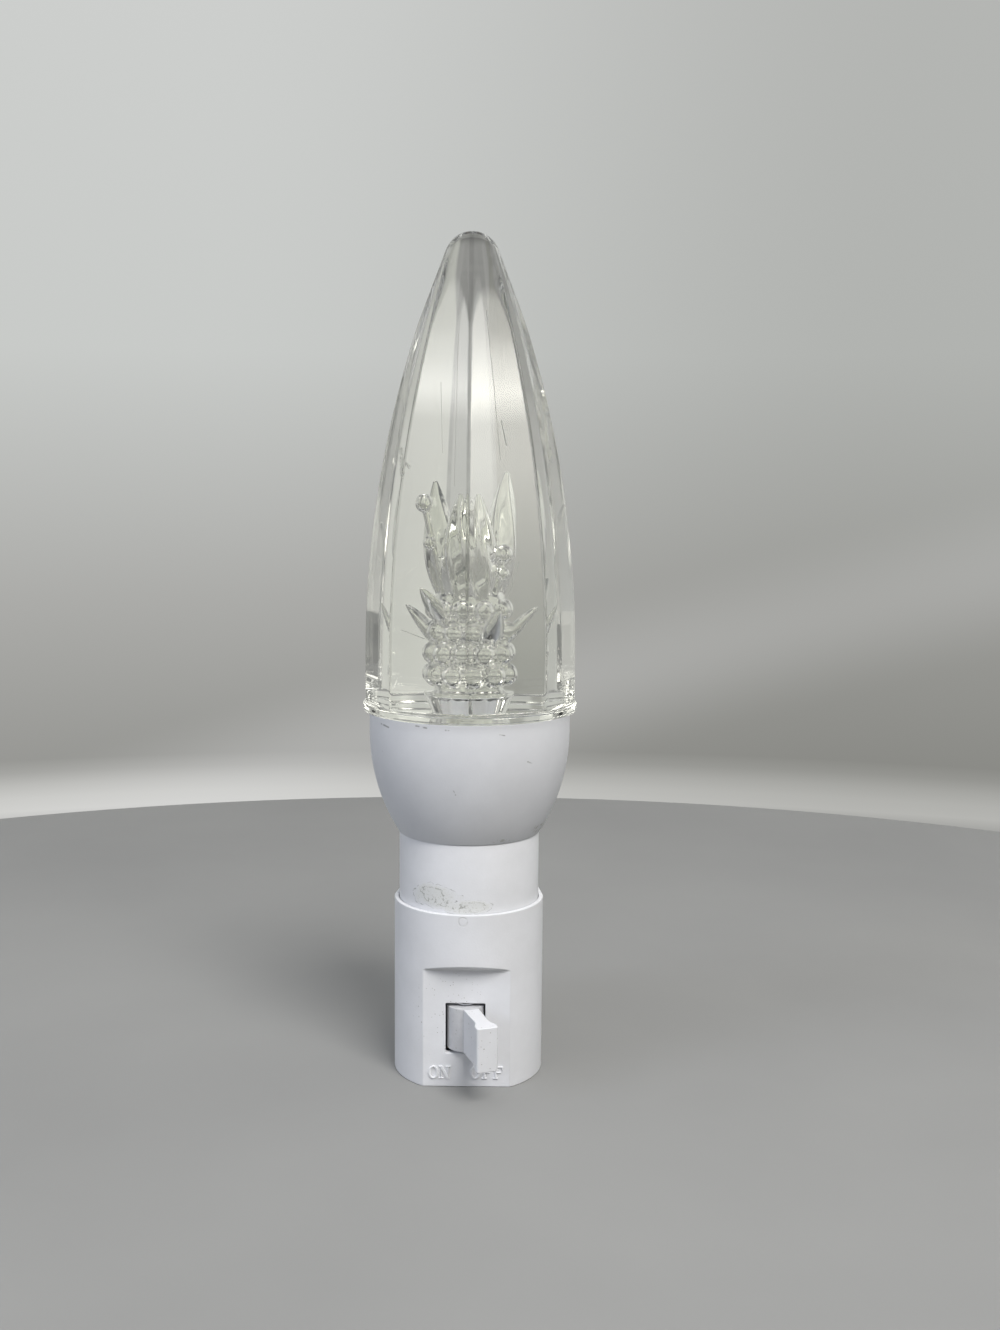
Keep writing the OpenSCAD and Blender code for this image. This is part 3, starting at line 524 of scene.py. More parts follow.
def lamp_glass():
    material, tree = new_material("lamp_glass")
    surface = use_group(tree, SURFACE, Mottle_Scale=70.0, Grain_Scale=900.0, Wave_Scale=110.0, Grain_Share=0.02)
    dress(tree, Base_Color=blend(surface["Mottle"], (0.99, 0.995, 0.99), (0.97, 0.98, 0.97)),
          Roughness=steps(surface["Shine"], 0.3, 0.7, 0.0, 0.03),
          Normal=relief(surface["Height"], LAMP_GLASS_RELIEF), IOR=1.5, Transmission_Weight=1.0)
    let_light_through(tree, LAMP_SHADE)
    return material


def black_glass():
    material, tree = new_material("black_glass")
    surface = use_group(tree, SURFACE, Mottle_Scale=300.0, Grain_Scale=3000.0)
    dress(tree, Base_Color=blend(surface["Mottle"], (0.012, 0.012, 0.016), (0.03, 0.03, 0.035)),
          Roughness=steps(surface["Shine"], 0.3, 0.7, 0.08, 0.22),
          Normal=relief(surface["Height"], BLACK_GLASS_RELIEF))
    return material


def stroke(tree, start, end, width):
    """Mask of a straight mark on the front from start to end, (x, z) in millimetres."""
    x, y, z = apart(here(tree))
    a, b = (Vector((px * MM, 0, pz * MM)) for px, pz in (start, end))
    along = (b - a).normalized()
    off = vectors("SUBTRACT", add(tree, "ShaderNodeCombineXYZ", X=x, Z=z), a)
    run = vectors("DOT_PRODUCT", off, along)["Value"]
    held = add(tree, "ShaderNodeClamp", Value=run, Min=0.0, Max=(b - a).length)
    gap = vectors("DISTANCE", off, vectors("SCALE", along, Scale=held))["Value"]
    return steps(gap, 0.5 * width * MM, width * MM, 1.0, 0.0) * maths("LESS_THAN", y, 0.0)


def strokes(tree, marks):
    return strongest([stroke(tree, *mark) for mark in marks])


def front_spot(tree, x, z, half_x, half_z, soft):
    """Mask of an oval place on the front, in millimetres, that fades towards its edge."""
    at_x, at_y, at_z = apart(here(tree))
    across, up = (at_x - x * MM) / (half_x * MM), (at_z - z * MM) / (half_z * MM)
    near = steps(across * across + up * up, 1 - soft, 1.0, 1.0, 0.0)
    return near * maths("LESS_THAN", at_y, 0.0)


def edge_shade_lines(tree):
    """Mask of the dome's eight upright edges, where a painted dark line stands in for the shade seen through the
    rounded edges.
    """
    x, y, z = apart(here(tree))
    reach = distance(x, y)
    side = maths("FRACT", maths("ARCTAN2", x, y * -1.0) / (2 * HALF_SIDE) + (SIDES + 0.5))
    off = abs(side - 0.5) * (2 * HALF_SIDE)
    near = steps(off * reach, 0.25 * MM, 0.6 * MM, 1.0, 0.0)
    outside = strongest([steps(reach, 11 * MM, 12 * MM),
                         steps(z, (DOME_FOOT + 49) * MM, (DOME_FOOT + 51) * MM)])
    above = steps(z, (DOME_FOOT + 3) * MM, (DOME_FOOT + 9) * MM)
    uneven = steps(noise(tree, 300.0), 0.3, 0.6, 0.6, 1.0)
    return near * outside * (above * uneven)


def base_marks(tree, colour, rough, height):
    """A faint round gate mark below the rim, and dust specks round the switch."""
    far = vectors("DISTANCE", here(tree), Vector(GATE_MARK) * MM)["Value"]
    ring = steps(abs(far - GATE_RADIUS * MM), 0.05 * MM, 0.22 * MM, 1.0, 0.0)
    broken = ring * steps(noise(tree, 900.0), 0.4, 0.55, 0.25, 1.0)
    dust = use_group(tree, SPECK, Amount=0.32, **DUST) * front_spot(tree, -3.5, 15.0, 9.0, 11.0, 0.9)
    colour = blend(broken * 0.35, colour, (0.55, 0.55, 0.53))
    return blend(dust * 0.8, colour, (0.24, 0.22, 0.2)), rough, height - broken * 0.8


def lever_dust_and_shade(tree, colour, rough, height):
    """Dirt specks on the lever's flanks, and painted shade that greys the barrel inside the switch window."""
    x, y, _ = apart(here(tree))
    off = distance(x - LEVER_PIN[0] * MM, y - LEVER_PIN[1] * MM)
    # painted shade: within the barrel's radius of the pin the colour is darkened, standing in for the window's shade
    barrel_shade = steps(off, 3.75 * MM, 4.3 * MM, 0.6, 0.0) * steps(noise(tree, 500.0), 0.3, 0.7, 0.7, 1.0)
    colour = blend(barrel_shade, colour, (0.42, 0.42, 0.43))
    colour = blend(use_group(tree, SPECK, Amount=0.34, **DUST) * 0.6, colour, (0.28, 0.26, 0.24))
    return colour, rough, height


def collar_marks(tree, colour, rough, height):
    """A dried smear of old glue: a faint greenish film with thin dark lines where its edges dried."""
    area = strongest([front_spot(tree, -5.8, 38.6, 7.0, 3.3, 1.0), front_spot(tree, -0.6, 37.0, 6.6, 2.0, 1.0)])
    film = area * 0.7 + (noise(tree, 170.0, 5.0, 0.6) - 0.55) * 1.7
    stain = steps(film, 0.1, 0.5) * steps(area, 0.0, 0.3)
    lines = strongest([steps(abs(film - level), 0.006, 0.03, 1.0, 0.0) for level in (0.18, 0.5)])
    lines = lines * (steps(noise(tree, 900.0), 0.42, 0.58) * steps(area, 0.02, 0.2))
    grains = steps(noise(tree, 3200.0, 2.0), 0.55, 0.66)
    colour = blend(stain * 0.24, colour, (0.6, 0.61, 0.51))
    colour = blend(grains * stain * 0.3, colour, (0.4, 0.4, 0.33))
    colour = blend(lines * 0.62, colour, (0.2, 0.2, 0.17))
    return colour, rough + stain * 0.1, height + stain * 0.4


def cup_marks(tree, colour, rough, height):
    """Short scuffs below the cup's rim, and traces of glue along the joint with the collar."""
    scuffs = strokes(tree, CUP_SCUFFS) * steps(noise(tree, 1300.0), 0.38, 0.52)
    joint = strongest([front_spot(tree, 14.6, 51.0, 2.6, 1.5, 0.7), front_spot(tree, 6.6, 49.9, 1.9, 0.6, 0.7)])
    crumbs = joint * steps(noise(tree, 1600.0), 0.5, 0.58)
    colour = blend(scuffs * 0.75, colour, (0.25, 0.25, 0.24))
    return blend(crumbs * 0.6, colour, (0.42, 0.42, 0.38)), rough, height + crumbs * 0.8


# ---------------------------------------------------------------- mesh helpers

FILLET_STEPS = 4
NEAR_POINTS = 1e-5         # points this close are one, in millimetres
NODE_POINTS = 2e-7         # the same for a CAD node, in metres
ONE_PLANE = 0.4            # degrees between faces that are joined into one
SHARP_EDGE = 32            # degrees from which an edge is rounded
EDGE_FACES = 1             # material number that marks the rounded edges


def finish_mesh(bm, name, smooth_deg=35):
    """Turns a bmesh drawn in millimetres into an object that stands at the origin."""
    bmesh.ops.scale(bm, vec=(MM, MM, MM), verts=bm.verts)
    mesh = bpy.data.meshes.new(name)
    bm.to_mesh(mesh)
    bm.free()
    for face in mesh.polygons:
        face.use_smooth = True
    mesh.set_sharp_from_angle(angle=radians(smooth_deg))
    piece = bpy.data.objects.new(name, mesh)
    SCENE.collection.objects.link(piece)
    return piece


def settle(piece):
    """Applies a piece's modifiers, so that a plain mesh is left."""
    done = bpy.data.meshes.new_from_object(piece.evaluated_get(bpy.context.evaluated_depsgraph_get()))
    done.name = piece.name
    piece.modifiers.clear()
    piece.data = done


def take_mesh(piece):
    """Settles a helper object and keeps only its mesh."""
    settle(piece)
    mesh = piece.data
    bpy.data.objects.remove(piece)
    return mesh


def pour(form, bm):
    """Adds one bmesh to another."""
    held = bpy.data.meshes.new("held")
    form.to_mesh(held)
    form.free()
    bm.from_mesh(held)
    bpy.data.meshes.remove(held)


def put(piece, body, material):
    """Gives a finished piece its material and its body."""
    piece.data.materials.clear()
    piece.data.materials.append(material)
    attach(piece, body)


def skin(bm, rings):
    """Faces between rings of points. Each ring has as many points as the next."""
    rows = [[bm.verts.new(point) for point in ring] for ring in rings]
    count = len(rows[0])
    for low, high in zip(rows, rows[1:]):
        for i in range(count):
            j = (i + 1) % count
            bm.faces.new((low[i], low[j], high[j], high[i]))
    return rows


def block(bm, back, front):
    """A solid between two outlines."""
    for row in skin(bm, [back, front]):
        bm.faces.new(row)


def fan(bm, row, tip, flip=False):
    """Closes a ring with triangles to one point."""
    top = bm.verts.new(tip)
    for i, vertex in enumerate(row):
        after = row[(i + 1) % len(row)]
        bm.faces.new((after, vertex, top) if flip else (vertex, after, top))


def rounded_path(points):
    """A path of (r, z) or (r, z, fillet) points with each fillet drawn as an arc."""
    path = []
    flat = [Vector(p[:2]) for p in points]
    for i, point in enumerate(points):
        fillet = point[2] if len(point) > 2 else 0
        if not fillet or i in (0, len(points) - 1):
            path.append(tuple(flat[i]))
            continue
        before = (flat[i - 1] - flat[i]).normalized()
        after = (flat[i + 1] - flat[i]).normalized()
        half = before.angle(after) / 2
        reach = fillet / tan(half)
        centre = flat[i] + (before + after).normalized() * (fillet / sin(half))
        start = flat[i] + before * reach - centre
        end = flat[i] + after * reach - centre
        sweep = atan2(start.x * end.y - start.y * end.x, start.dot(end))
        for k in range(FILLET_STEPS + 1):
            a = sweep * k / FILLET_STEPS
            turned_spoke = Vector((start.x * cos(a) - start.y * sin(a),
                                   start.x * sin(a) + start.y * cos(a)))
            path.append(tuple(centre + turned_spoke))
    return path


def all_round(count):
    return [TURN * i / count for i in range(count)]


def ring(reach, z, angles):
    """A ring of points, whose radius reach gives for an angle."""
    return [(reach(a) * cos(a), reach(a) * sin(a), z) for a in angles]


def lathed(path, count):
    """Rings of a path of (r, z) points turned round the z axis."""
    return [ring(lambda a, r=r: max(r, 0), z, all_round(count)) for r, z in path]


def ring_piece(name, node, rings, body, material, smooth_deg=35, hollow=True):
    """A finished round piece in a CAD node's place. A hollow one's last ring joins its first."""
    bm = bmesh.new()
    skin(bm, rings + rings[:1] if hollow else rings)
    bmesh.ops.remove_doubles(bm, verts=bm.verts, dist=NEAR_POINTS)
    bmesh.ops.recalc_face_normals(bm, faces=bm.faces)
    piece = finish_mesh(bm, name, smooth_deg)
    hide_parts(node)
    put(piece, body, material)


def surface_normals(mesh, source):
    """Corner normals for a rounded copy: the source's own on its faces, and blended ones on the rounded edges."""
    source.calc_loop_triangles()
    tris = [tuple(t.vertices) for t in source.loop_triangles]
    corners = [tuple(t.loops) for t in source.loop_triangles]
    spots = [v.co.copy() for v in source.vertices]
    tree = BVHTree.FromPolygons(spots, tris)
    given = [c.vector.copy() for c in source.corner_normals]
    normals = [None] * len(mesh.loops)
    shared = {}
    for face in mesh.polygons:
        if face.material_index == EDGE_FACES:
            continue
        for corner in face.loop_indices:
            vertex = mesh.loops[corner].vertex_index
            spot = mesh.vertices[vertex].co.lerp(face.center, 0.03)
            best = face.normal
            near = [hit for hit in tree.find_nearest_range(spot, 0.2 * MM) if hit[1].dot(face.normal) > 0.8]
            if near:
                hit = min(near, key=lambda h: h[3])
                a, b, c = (spots[i] for i in tris[hit[2]])
                shares = interpolate.poly_3d_calc([a, b, c], hit[0])
                best = sum((given[k] * w for k, w in zip(corners[hit[2]], shares)), Vector())
            normals[corner] = best.normalized()
            shared.setdefault(vertex, []).append(normals[corner])
    for face in mesh.polygons:
        if face.material_index != EDGE_FACES:
            continue
        for corner in face.loop_indices:
            vertex = mesh.loops[corner].vertex_index
            if vertex in shared:
                around = [n for n in shared[vertex] if n.dot(face.normal) > 0.3] or [face.normal]
                normals[corner] = sum(around, Vector()).normalized()
            else:
                normals[corner] = mesh.vertices[vertex].normal.copy()
    return normals


def round_edges(node, name, width, body, material):
    """A finished copy of a CAD node with its sharp edges rounded, in the node's place."""
    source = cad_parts[node].data
    bm = bmesh.new()
    bm.from_mesh(source)
    bmesh.ops.remove_doubles(bm, verts=bm.verts, dist=NODE_POINTS)
    bmesh.ops.dissolve_limit(bm, angle_limit=radians(ONE_PLANE), verts=bm.verts, edges=bm.edges)
    for face in bm.faces:
        face.material_index = 0
    bmesh.ops.scale(bm, vec=(1 / MM,) * 3, verts=bm.verts)
    piece = finish_mesh(bm, name)
    filler = bpy.data.materials.new("filler")
    for _ in range(2):
        piece.data.materials.append(filler)
    bevel = piece.modifiers.new("round", "BEVEL")
    bevel.width = width * MM
    bevel.segments = 3
    bevel.limit_method = "ANGLE"
    bevel.angle_limit = radians(SHARP_EDGE)
    bevel.use_clamp_overlap = False
    bevel.miter_outer = "MITER_ARC"
    bevel.material = EDGE_FACES
    settle(piece)
    piece.data.normals_split_custom_set(surface_normals(piece.data, source))
    for face in piece.data.polygons:
        face.material_index = 0
    bpy.data.materials.remove(filler)
    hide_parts(node)
    put(piece, body, material)


def grown(name, sizes, draw, material):
    """A mesh that a node tree draws from named sizes. draw places its nodes and gives the shape that they make."""
    tree = bpy.data.node_groups.new(name, "GeometryNodeTree")
    tree.interface.new_socket("Geometry", in_out="INPUT", socket_type="NodeSocketGeometry")
    sockets = number_inputs(tree, sizes)
    tree.interface.new_socket("Geometry", in_out="OUTPUT", socket_type="NodeSocketGeometry")
    given, out = Signal(tree.nodes.new("NodeGroupInput")), tree.nodes.new("NodeGroupOutput")
    real = add(tree, "GeometryNodeRealizeInstances", draw(tree, given))
    plug(out.inputs[0], add(tree, "GeometryNodeSetMaterial", real, Material=material))
    holder = bpy.data.objects.new(name, bpy.data.meshes.new(name))
    SCENE.collection.objects.link(holder)
    grow = holder.modifiers.new("grow", "NODES")
    grow.node_group = tree
    for label, value in sizes.items():
        grow[sockets[label].identifier] = value
    return take_mesh(holder)


# ---------------------------------------------------------------- dome

RING_DEPTH = 1.2           # locating ring below the dome's foot
RING_OUTER = 18.1
RING_INNER = 16.9
FLANGE_STEP = 0.3          # the corners stand in from the flange by this
FLANGE_THICK = 1.6
FOOT_FILLET = 0.35
STRAIGHT_HEIGHT = 10.2     # height of the upright part of the sides
TIP_RADIUS = 5.8           # the sides' arc ends about this far from the axis and below the top
TIP_CONE = radians(21)
CAP_RADIUS = 5.45          # of the round tip
TIP_BLEND = 0.15           # softness of the line where sides and tip meet
TIP_RINGS = 26
RING_STEP = 0.7            # height between the rings of the sides
SIDES = 8
EDGE_RADIUS = 1.3          # rounding of the eight upright edges
EDGE_ANGLES = (0.0, 0.008, 0.016, 0.024, 0.034, 0.046, 0.06, 0.085)
CORNER_TO_FRONT = -pi / 2

dome_low, dome_high = box_mm("dome")
DOME_FOOT = dome_low.z + RING_DEPTH
DOME_HEIGHT = dome_high.z - DOME_FOOT
FLANGE_RADIUS = dome_high.x
HALF_SIDE = pi / SIDES
CORNER_RADIUS = FLANGE_RADIUS - FLANGE_STEP
FOOT_APOTHEM = CORNER_RADIUS * cos(HALF_SIDE)
TIP_CENTRE = DOME_HEIGHT - TIP_RADIUS
SIDE_RISE = TIP_CENTRE - STRAIGHT_HEIGHT
SIDE_IN = FOOT_APOTHEM - TIP_RADIUS - 0.1
SIDE_ARC = (SIDE_RISE ** 2 + SIDE_IN ** 2) / (2 * SIDE_IN)


def side_angles():
    """Angles round the dome: dense at the eight edges, wider on the flat sides."""
    flat = [HALF_SIDE * k / 6 for k in range(5)]
    half = sorted({*flat, *[HALF_SIDE - a for a in EDGE_ANGLES]})
    one_side = [-a for a in reversed(half[1:])] + half[:-1]
    return [CORNER_TO_FRONT + HALF_SIDE + k * 2 * HALF_SIDE + a for k in range(SIDES) for a in one_side]


def apothem(height):
    """Distance from the axis to a flat side."""
    up = max(0.0, height - STRAIGHT_HEIGHT)
    return FOOT_APOTHEM - SIDE_ARC + sqrt(max(SIDE_ARC ** 2 - up ** 2, 0))


def tip_reach(height):
    """Radius of the cone and cap that close the tip."""
    centre = DOME_HEIGHT - CAP_RADIUS
    touch = centre + CAP_RADIUS * sin(TIP_CONE)
    if height < touch:
        return CAP_RADIUS * cos(TIP_CONE) + (touch - height) * tan(TIP_CONE)
    return sqrt(max(CAP_RADIUS ** 2 - (height - centre) ** 2, 0))


def octagon_reach(angle, flat, edge_radius):
    """Radius at an angle of an octagon with that apothem and rounded corners."""
    off = abs((angle - CORNER_TO_FRONT + HALF_SIDE) % (2 * HALF_SIDE) - HALF_SIDE)
    centre = (flat - edge_radius) / cos(HALF_SIDE)
    inside = edge_radius ** 2 - (centre * sin(off)) ** 2
    tangent = flat * tan(HALF_SIDE) - edge_radius * tan(HALF_SIDE)
    if flat * tan(HALF_SIDE - off) <= tangent or inside <= 0:
        return flat / cos(HALF_SIDE - off)
    return centre * cos(off) + sqrt(inside)


def soft_min(a, b, softness):
    share = min(max(0.5 + 0.5 * (b - a) / softness, 0), 1)
    return b * (1 - share) + a * share - softness * share * (1 - share)


def dome_reach(angle, height):
    flat = max(apothem(height), 0.3)
    edge = min(EDGE_RADIUS, 0.4 * flat)
    return max(soft_min(octagon_reach(angle, flat, edge), tip_reach(height), TIP_BLEND), 0)


def dome_rings(angles):
    """Rings from the mouth, round the locating ring and the flange, up to the tip."""
    def at(height, reach):
        return ring(reach, DOME_FOOT + height, angles)

    under = rounded_path([
        (RING_INNER - 2.5, 0), (RING_INNER, 0, 0.15), (RING_INNER, -RING_DEPTH, 0.2), (RING_OUTER, -RING_DEPTH, 0.2),
        (RING_OUTER, 0, 0.15), (FLANGE_RADIUS, 0, 0.35), (FLANGE_RADIUS, FLANGE_THICK, 0.45),
        (CORNER_RADIUS - 1.0, FLANGE_THICK),
    ])[:-1]
    rings = [at(height, lambda a, r=r: r) for r, height in under]
    # the flange's top runs in to the foot of each side, with a small hollow fillet
    last = under[-1][0]
    for share in (0.25, 0.5, 0.75):
        rings.append(at(FLANGE_THICK,
                        lambda a: min(last, last + (dome_reach(a, FLANGE_THICK) + FOOT_FILLET - last) * share)))
    for k in range(5):
        t = pi / 2 * k / 4
        out, height = FOOT_FILLET * (1 - sin(t)), FLANGE_THICK + FOOT_FILLET * (1 - cos(t))
        rings.append(at(height, lambda a: min(last, dome_reach(a, height) + out)))
    heights = [FLANGE_THICK + FOOT_FILLET + 0.6 + RING_STEP * k
               for k in range(int((TIP_CENTRE - FLANGE_THICK - 1.4) / RING_STEP))]
    start = heights[-1]
    heights += [start + (DOME_HEIGHT - start) * sin(k / TIP_RINGS * pi / 2) for k in range(1, TIP_RINGS)]
    return rings + [at(height, lambda a, h=height: dome_reach(a, h)) for height in heights]


# ---------------------------------------------------------------- the hollow in the dome

MOUTH_RADIUS = 4.6
POT_RADIUS = 6.1
POT_HEIGHT = 4.3
POT_FLUTES = 14
POT_LIP = 0.3
BERRY_RADIUS = 2.25
BERRY_RING = 4.9
BERRIES = 7
TIERS = 4
TIER_STEP = 4.1
CORE_RADIUS = 4.2
TIER_FOOT = POT_HEIGHT + BERRY_RADIUS + 1.1
HEAD = TIER_FOOT + TIERS * TIER_STEP
LEAVES = 5
LEAF_LENGTH = 12.5
LEAF_WIDTH = 2.3
LEAF_TILT = 38
LEAF_POINTS = 24
LEAF_RINGS = 18
BUD_HEIGHT = 27
BUD_RADIUS = 3.3
BUD_TILT = 7
BUD_PETALS = 5
BUD_RINGS = 26
SPRIG_HEIGHT = 19
SPRIG_DROPS = (7, 0, 10)
SPRIG_RADIUS = 0.7
SPRIG_TILT = 17
FRUIT_RADIUS = 1.8
VOXEL = 0.248


def ball(bm, place, centre, radius):
    bmesh.ops.create_icosphere(bm, subdivisions=4, radius=radius, matrix=place @ Matrix.Translation(centre))


def closed_form(bm, place, rings):
    """Skins rings of points, closes both ends to a point and adds the form to bm, put in place by a matrix."""
    form = bmesh.new()
    rows = skin(form, rings)
    for row, flip in ((rows[0], True), (rows[-1], False)):
        fan(form, row, sum((vertex.co for vertex in row), Vector()) / len(row), flip)
    bmesh.ops.transform(form, matrix=place, verts=form.verts)
    pour(form, bm)


def turned(bm, place, path, count, ribs=0, depth=0.0, twist=0.0):
    """A turned form along a path of (r, z), with shallow ribs that may wind round it."""
    rings = []
    for k, (r, z) in enumerate(path):
        lag = twist * k / len(path)
        rings.append(ring(lambda a: r * (1 + depth * cos(ribs * (a + lag))), z, all_round(count)))
    closed_form(bm, place, rings)


def bud_path(height):
    """Half outline of a closed bud: slender, fullest below the middle, with a fine point."""
    return [(BUD_RADIUS * sin(pi * t ** 0.8) ** 0.85 + 0.02, height * t)
            for t in (k / BUD_RINGS for k in range(1, BUD_RINGS))]


def leaf(bm, place):
    """A thick pointed leaf that curls outwards, with a groove along its middle."""
    rings = []
    for k in range(1, LEAF_RINGS):
        t = k / LEAF_RINGS
        half = LEAF_WIDTH * sin(pi * t ** 0.85) ** 0.9 + 0.05
        curl = 2.6 * t * t - 1.4 * t
        section = []
        for a in all_round(LEAF_POINTS):
            groove = 0.35 * half * exp(-(sin(a) / 0.3) ** 2) if cos(a) < 0 else 0
            section.append((0.55 * half * cos(a) + groove + curl, half * sin(a), LEAF_LENGTH * t))
        rings.append(section)
    closed_form(bm, place, rings)


def leaning(turn_deg, reach, height, tilt_deg):
    """Place at a distance from the axis, turned about it and leaning outwards."""
    return (Matrix.Rotation(radians(turn_deg), 4, "Z") @ Matrix.Translation((reach, 0, height))
            @ Matrix.Rotation(radians(tilt_deg), 4, "Y"))


def draw_berries(tree, given):
    """Tiers of berries, each half a berry further round than the one below and its berries a little smaller."""
    index = add(tree, "GeometryNodeInputIndex")
    tier = maths("FLOOR", index / given["Berries"])
    angle = (index + tier * 0.5) * (TURN / given["Berries"])
    reach = given["Ring Radius"] - tier * given["Narrowing"]
    place = add(tree, "ShaderNodeCombineXYZ", maths("COSINE", angle) * reach, maths("SINE", angle) * reach,
                given["First Height"] + tier * given["Tier Step"])
    points = add(tree, "GeometryNodePoints", Count=given["Berries"] * given["Tiers"], Position=place)
    berry = add(tree, "GeometryNodeMeshIcoSphere", Radius=given["Berry Radius"], Subdivisions=4)
    return add(tree, "GeometryNodeInstanceOnPoints", Points=points, Instance=berry,
               Scale=1.0 - tier * given["Shrink"])


def hollow_form(material):
    """The hollow as one smooth closed skin, standing on the dome's foot plane."""
    bm = bmesh.new()
    still = Matrix.Identity(4)
    pot = [(MOUTH_RADIUS, -0.8), (MOUTH_RADIUS, 0)]
    pot += [(MOUTH_RADIUS + (POT_RADIUS - MOUTH_RADIUS) * k / 6, (POT_HEIGHT - 0.9) * k / 6) for k in range(1, 7)]
    turned(bm, still, pot, 112, POT_FLUTES, 0.02)
    turned(bm, still, [(POT_RADIUS, POT_HEIGHT - 1), (POT_RADIUS + POT_LIP, POT_HEIGHT - 0.8),
                       (POT_RADIUS + POT_LIP, POT_HEIGHT - 0.1), (CORE_RADIUS + 0.5, POT_HEIGHT + 0.2)], 96)
    turned(bm, still, [(CORE_RADIUS, POT_HEIGHT - 0.3), (CORE_RADIUS, HEAD - 1.5), (CORE_RADIUS - 1.6, HEAD)], 64)
    bm.from_mesh(grown("berry_tiers", {
        "Berry Radius": BERRY_RADIUS, "Ring Radius": BERRY_RING, "Tier Step": TIER_STEP, "First Height": TIER_FOOT,
        "Narrowing": 0.15, "Shrink": 0.05, "Berries": BERRIES, "Tiers": TIERS,
    }, draw_berries, material))
    for i in range(LEAVES):
        leaf(bm, leaning(8 + i * 360 / LEAVES, CORE_RADIUS - 1.2, TIER_FOOT + (1 + i % 2) * TIER_STEP, LEAF_TILT))
    for i, drop in enumerate(SPRIG_DROPS):
        turned(bm, leaning(30 + 120 * i, 2.2, HEAD - 4, BUD_TILT), bud_path(BUD_HEIGHT - 2 * i),
               60, BUD_PETALS, 0.07, 1.9)
        place = leaning(90 + 120 * i, 2.8, HEAD - 2, SPRIG_TILT)
        height = SPRIG_HEIGHT - drop
        turned(bm, place, [(SPRIG_RADIUS, 0), (SPRIG_RADIUS, height)], 24)
        ball(bm, place, (0, 0, height), FRUIT_RADIUS)
        ball(bm, place, (0.9, 0, 0.6 * height), 0.7 * FRUIT_RADIUS)
    form = finish_mesh(bm, "hollow_form")
    remesh = form.modifiers.new("skin", "REMESH")
    remesh.mode = "VOXEL"
    remesh.voxel_size = VOXEL * MM
    smooth = form.modifiers.new("smooth", "SMOOTH")
    smooth.factor = 0.5
    smooth.iterations = 3
    return take_mesh(form)


def make_dome():
    acrylic = clear_acrylic()
    bm = bmesh.new()
    bm.from_mesh(hollow_form(acrylic))
    bmesh.ops.scale(bm, vec=(1 / MM,) * 3, verts=bm.verts)
    bmesh.ops.bisect_plane(bm, geom=bm.verts[:] + bm.edges[:] + bm.faces[:], dist=NEAR_POINTS,
                           plane_co=(0, 0, 0), plane_no=(0, 0, 1), clear_inner=True)
    mouth = [e for e in bm.edges if e.is_boundary]
    bmesh.ops.translate(bm, vec=(0, 0, DOME_FOOT), verts=bm.verts)
    rows = skin(bm, dome_rings(side_angles()))
    fan(bm, rows[-1], (0, 0, dome_high.z))
    inner = [e for e in bm.edges if e.is_boundary and e not in mouth]
    bmesh.ops.triangle_fill(bm, use_beauty=True, use_dissolve=False, edges=mouth + inner)
    bmesh.ops.recalc_face_normals(bm, faces=bm.faces)
    dome = finish_mesh(bm, "dome_clear", 30)
    # large faces set the normals beside narrow rounded edges, so that flat sides look flat
    weigh = dome.modifiers.new("weigh", "WEIGHTED_NORMAL")
    weigh.keep_sharp = True
    weigh.weight = 90
    settle(dome)
    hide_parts("dome")
    put(dome, "shade", acrylic)


# ---------------------------------------------------------------- cup and collar

CUP_WALL = 1.6
CUP_BAND = 4.4             # height of the upright band below the rim
CUP_STEPS = 14
COLLAR_WALL = 1.5
SPIGOT_RADIUS = 12.9       # of the collar's top, which sits in the cup
JOINT_GAP = 0.02


def cup_path():
    low, high = box_mm("cup")
    foot, rim = box_mm("collar")[1].x + 0.2, high.x
    rise, out = high.z - low.z - CUP_BAND, rim - foot
    arc = (rise ** 2 + out ** 2) / (2 * out)
    centre = rim - arc
    top = low.z + rise
    floor = low.z + CUP_WALL
    outer = [(centre + sqrt(arc ** 2 - (top - z) ** 2), z)
             for z in (low.z + rise * k / CUP_STEPS for k in range(CUP_STEPS + 1))]
    inner = [(centre + sqrt((arc - CUP_WALL) ** 2 - (top - z) ** 2), z)
             for z in (top + (floor - top) * k / CUP_STEPS for k in range(CUP_STEPS + 1))]
    bottom = rounded_path([(SPIGOT_RADIUS, floor), (SPIGOT_RADIUS, low.z, 0.2), (foot, low.z, 0.3), outer[2]])[:-1]
    lip = rounded_path([outer[-1], (rim, high.z, 0.3), (rim - CUP_WALL, high.z, 0.3), inner[0]])[1:-1]
    return bottom + outer[2:] + lip + inner


def make_cup():
    plastic = white_plastic("cup_plastic", CUP_CLEAN, CUP_AGED, 0.46, 0.07, cup_marks)
    ring_piece("cup_shell", "cup", lathed(cup_path(), 160), "shade", plastic)


def make_collar():
    low, high = box_mm("collar")
    cup_foot = box_mm("cup")[0].z - JOINT_GAP
    bore, spigot = high.x - COLLAR_WALL, SPIGOT_RADIUS - 0.05
    path = rounded_path([(bore, low.z + 1), (bore, low.z, 0.3), (high.x, low.z, 0.4), (high.x, cup_foot, 0.15),
                         (spigot, cup_foot), (spigot, high.z, 0.25), (bore, high.z, 0.25), (bore, low.z + 1)])[:-1]
    plastic = white_plastic("collar_plastic", WHITE_CLEAN, WHITE_AGED, 0.42, 0.05, collar_marks)
    ring_piece("collar_tube", "collar", lathed(path, 144), "shade", plastic)


# ---------------------------------------------------------------- base, switch and plug

PANEL_FACE = -12.3
LETTER_HEIGHT = 2.55
LETTER_PROUD = 0.28
LETTER_STEM = 0.42
LETTER_HAIR = 0.2
LETTER_DRAFT = 0.06        # the fronts of strokes are drawn in by this
LETTER_FOOT = 1.75         # height of the letters' feet above the base's foot
LETTER_LAP = 0.015         # each stroke that crosses another stands lower by this


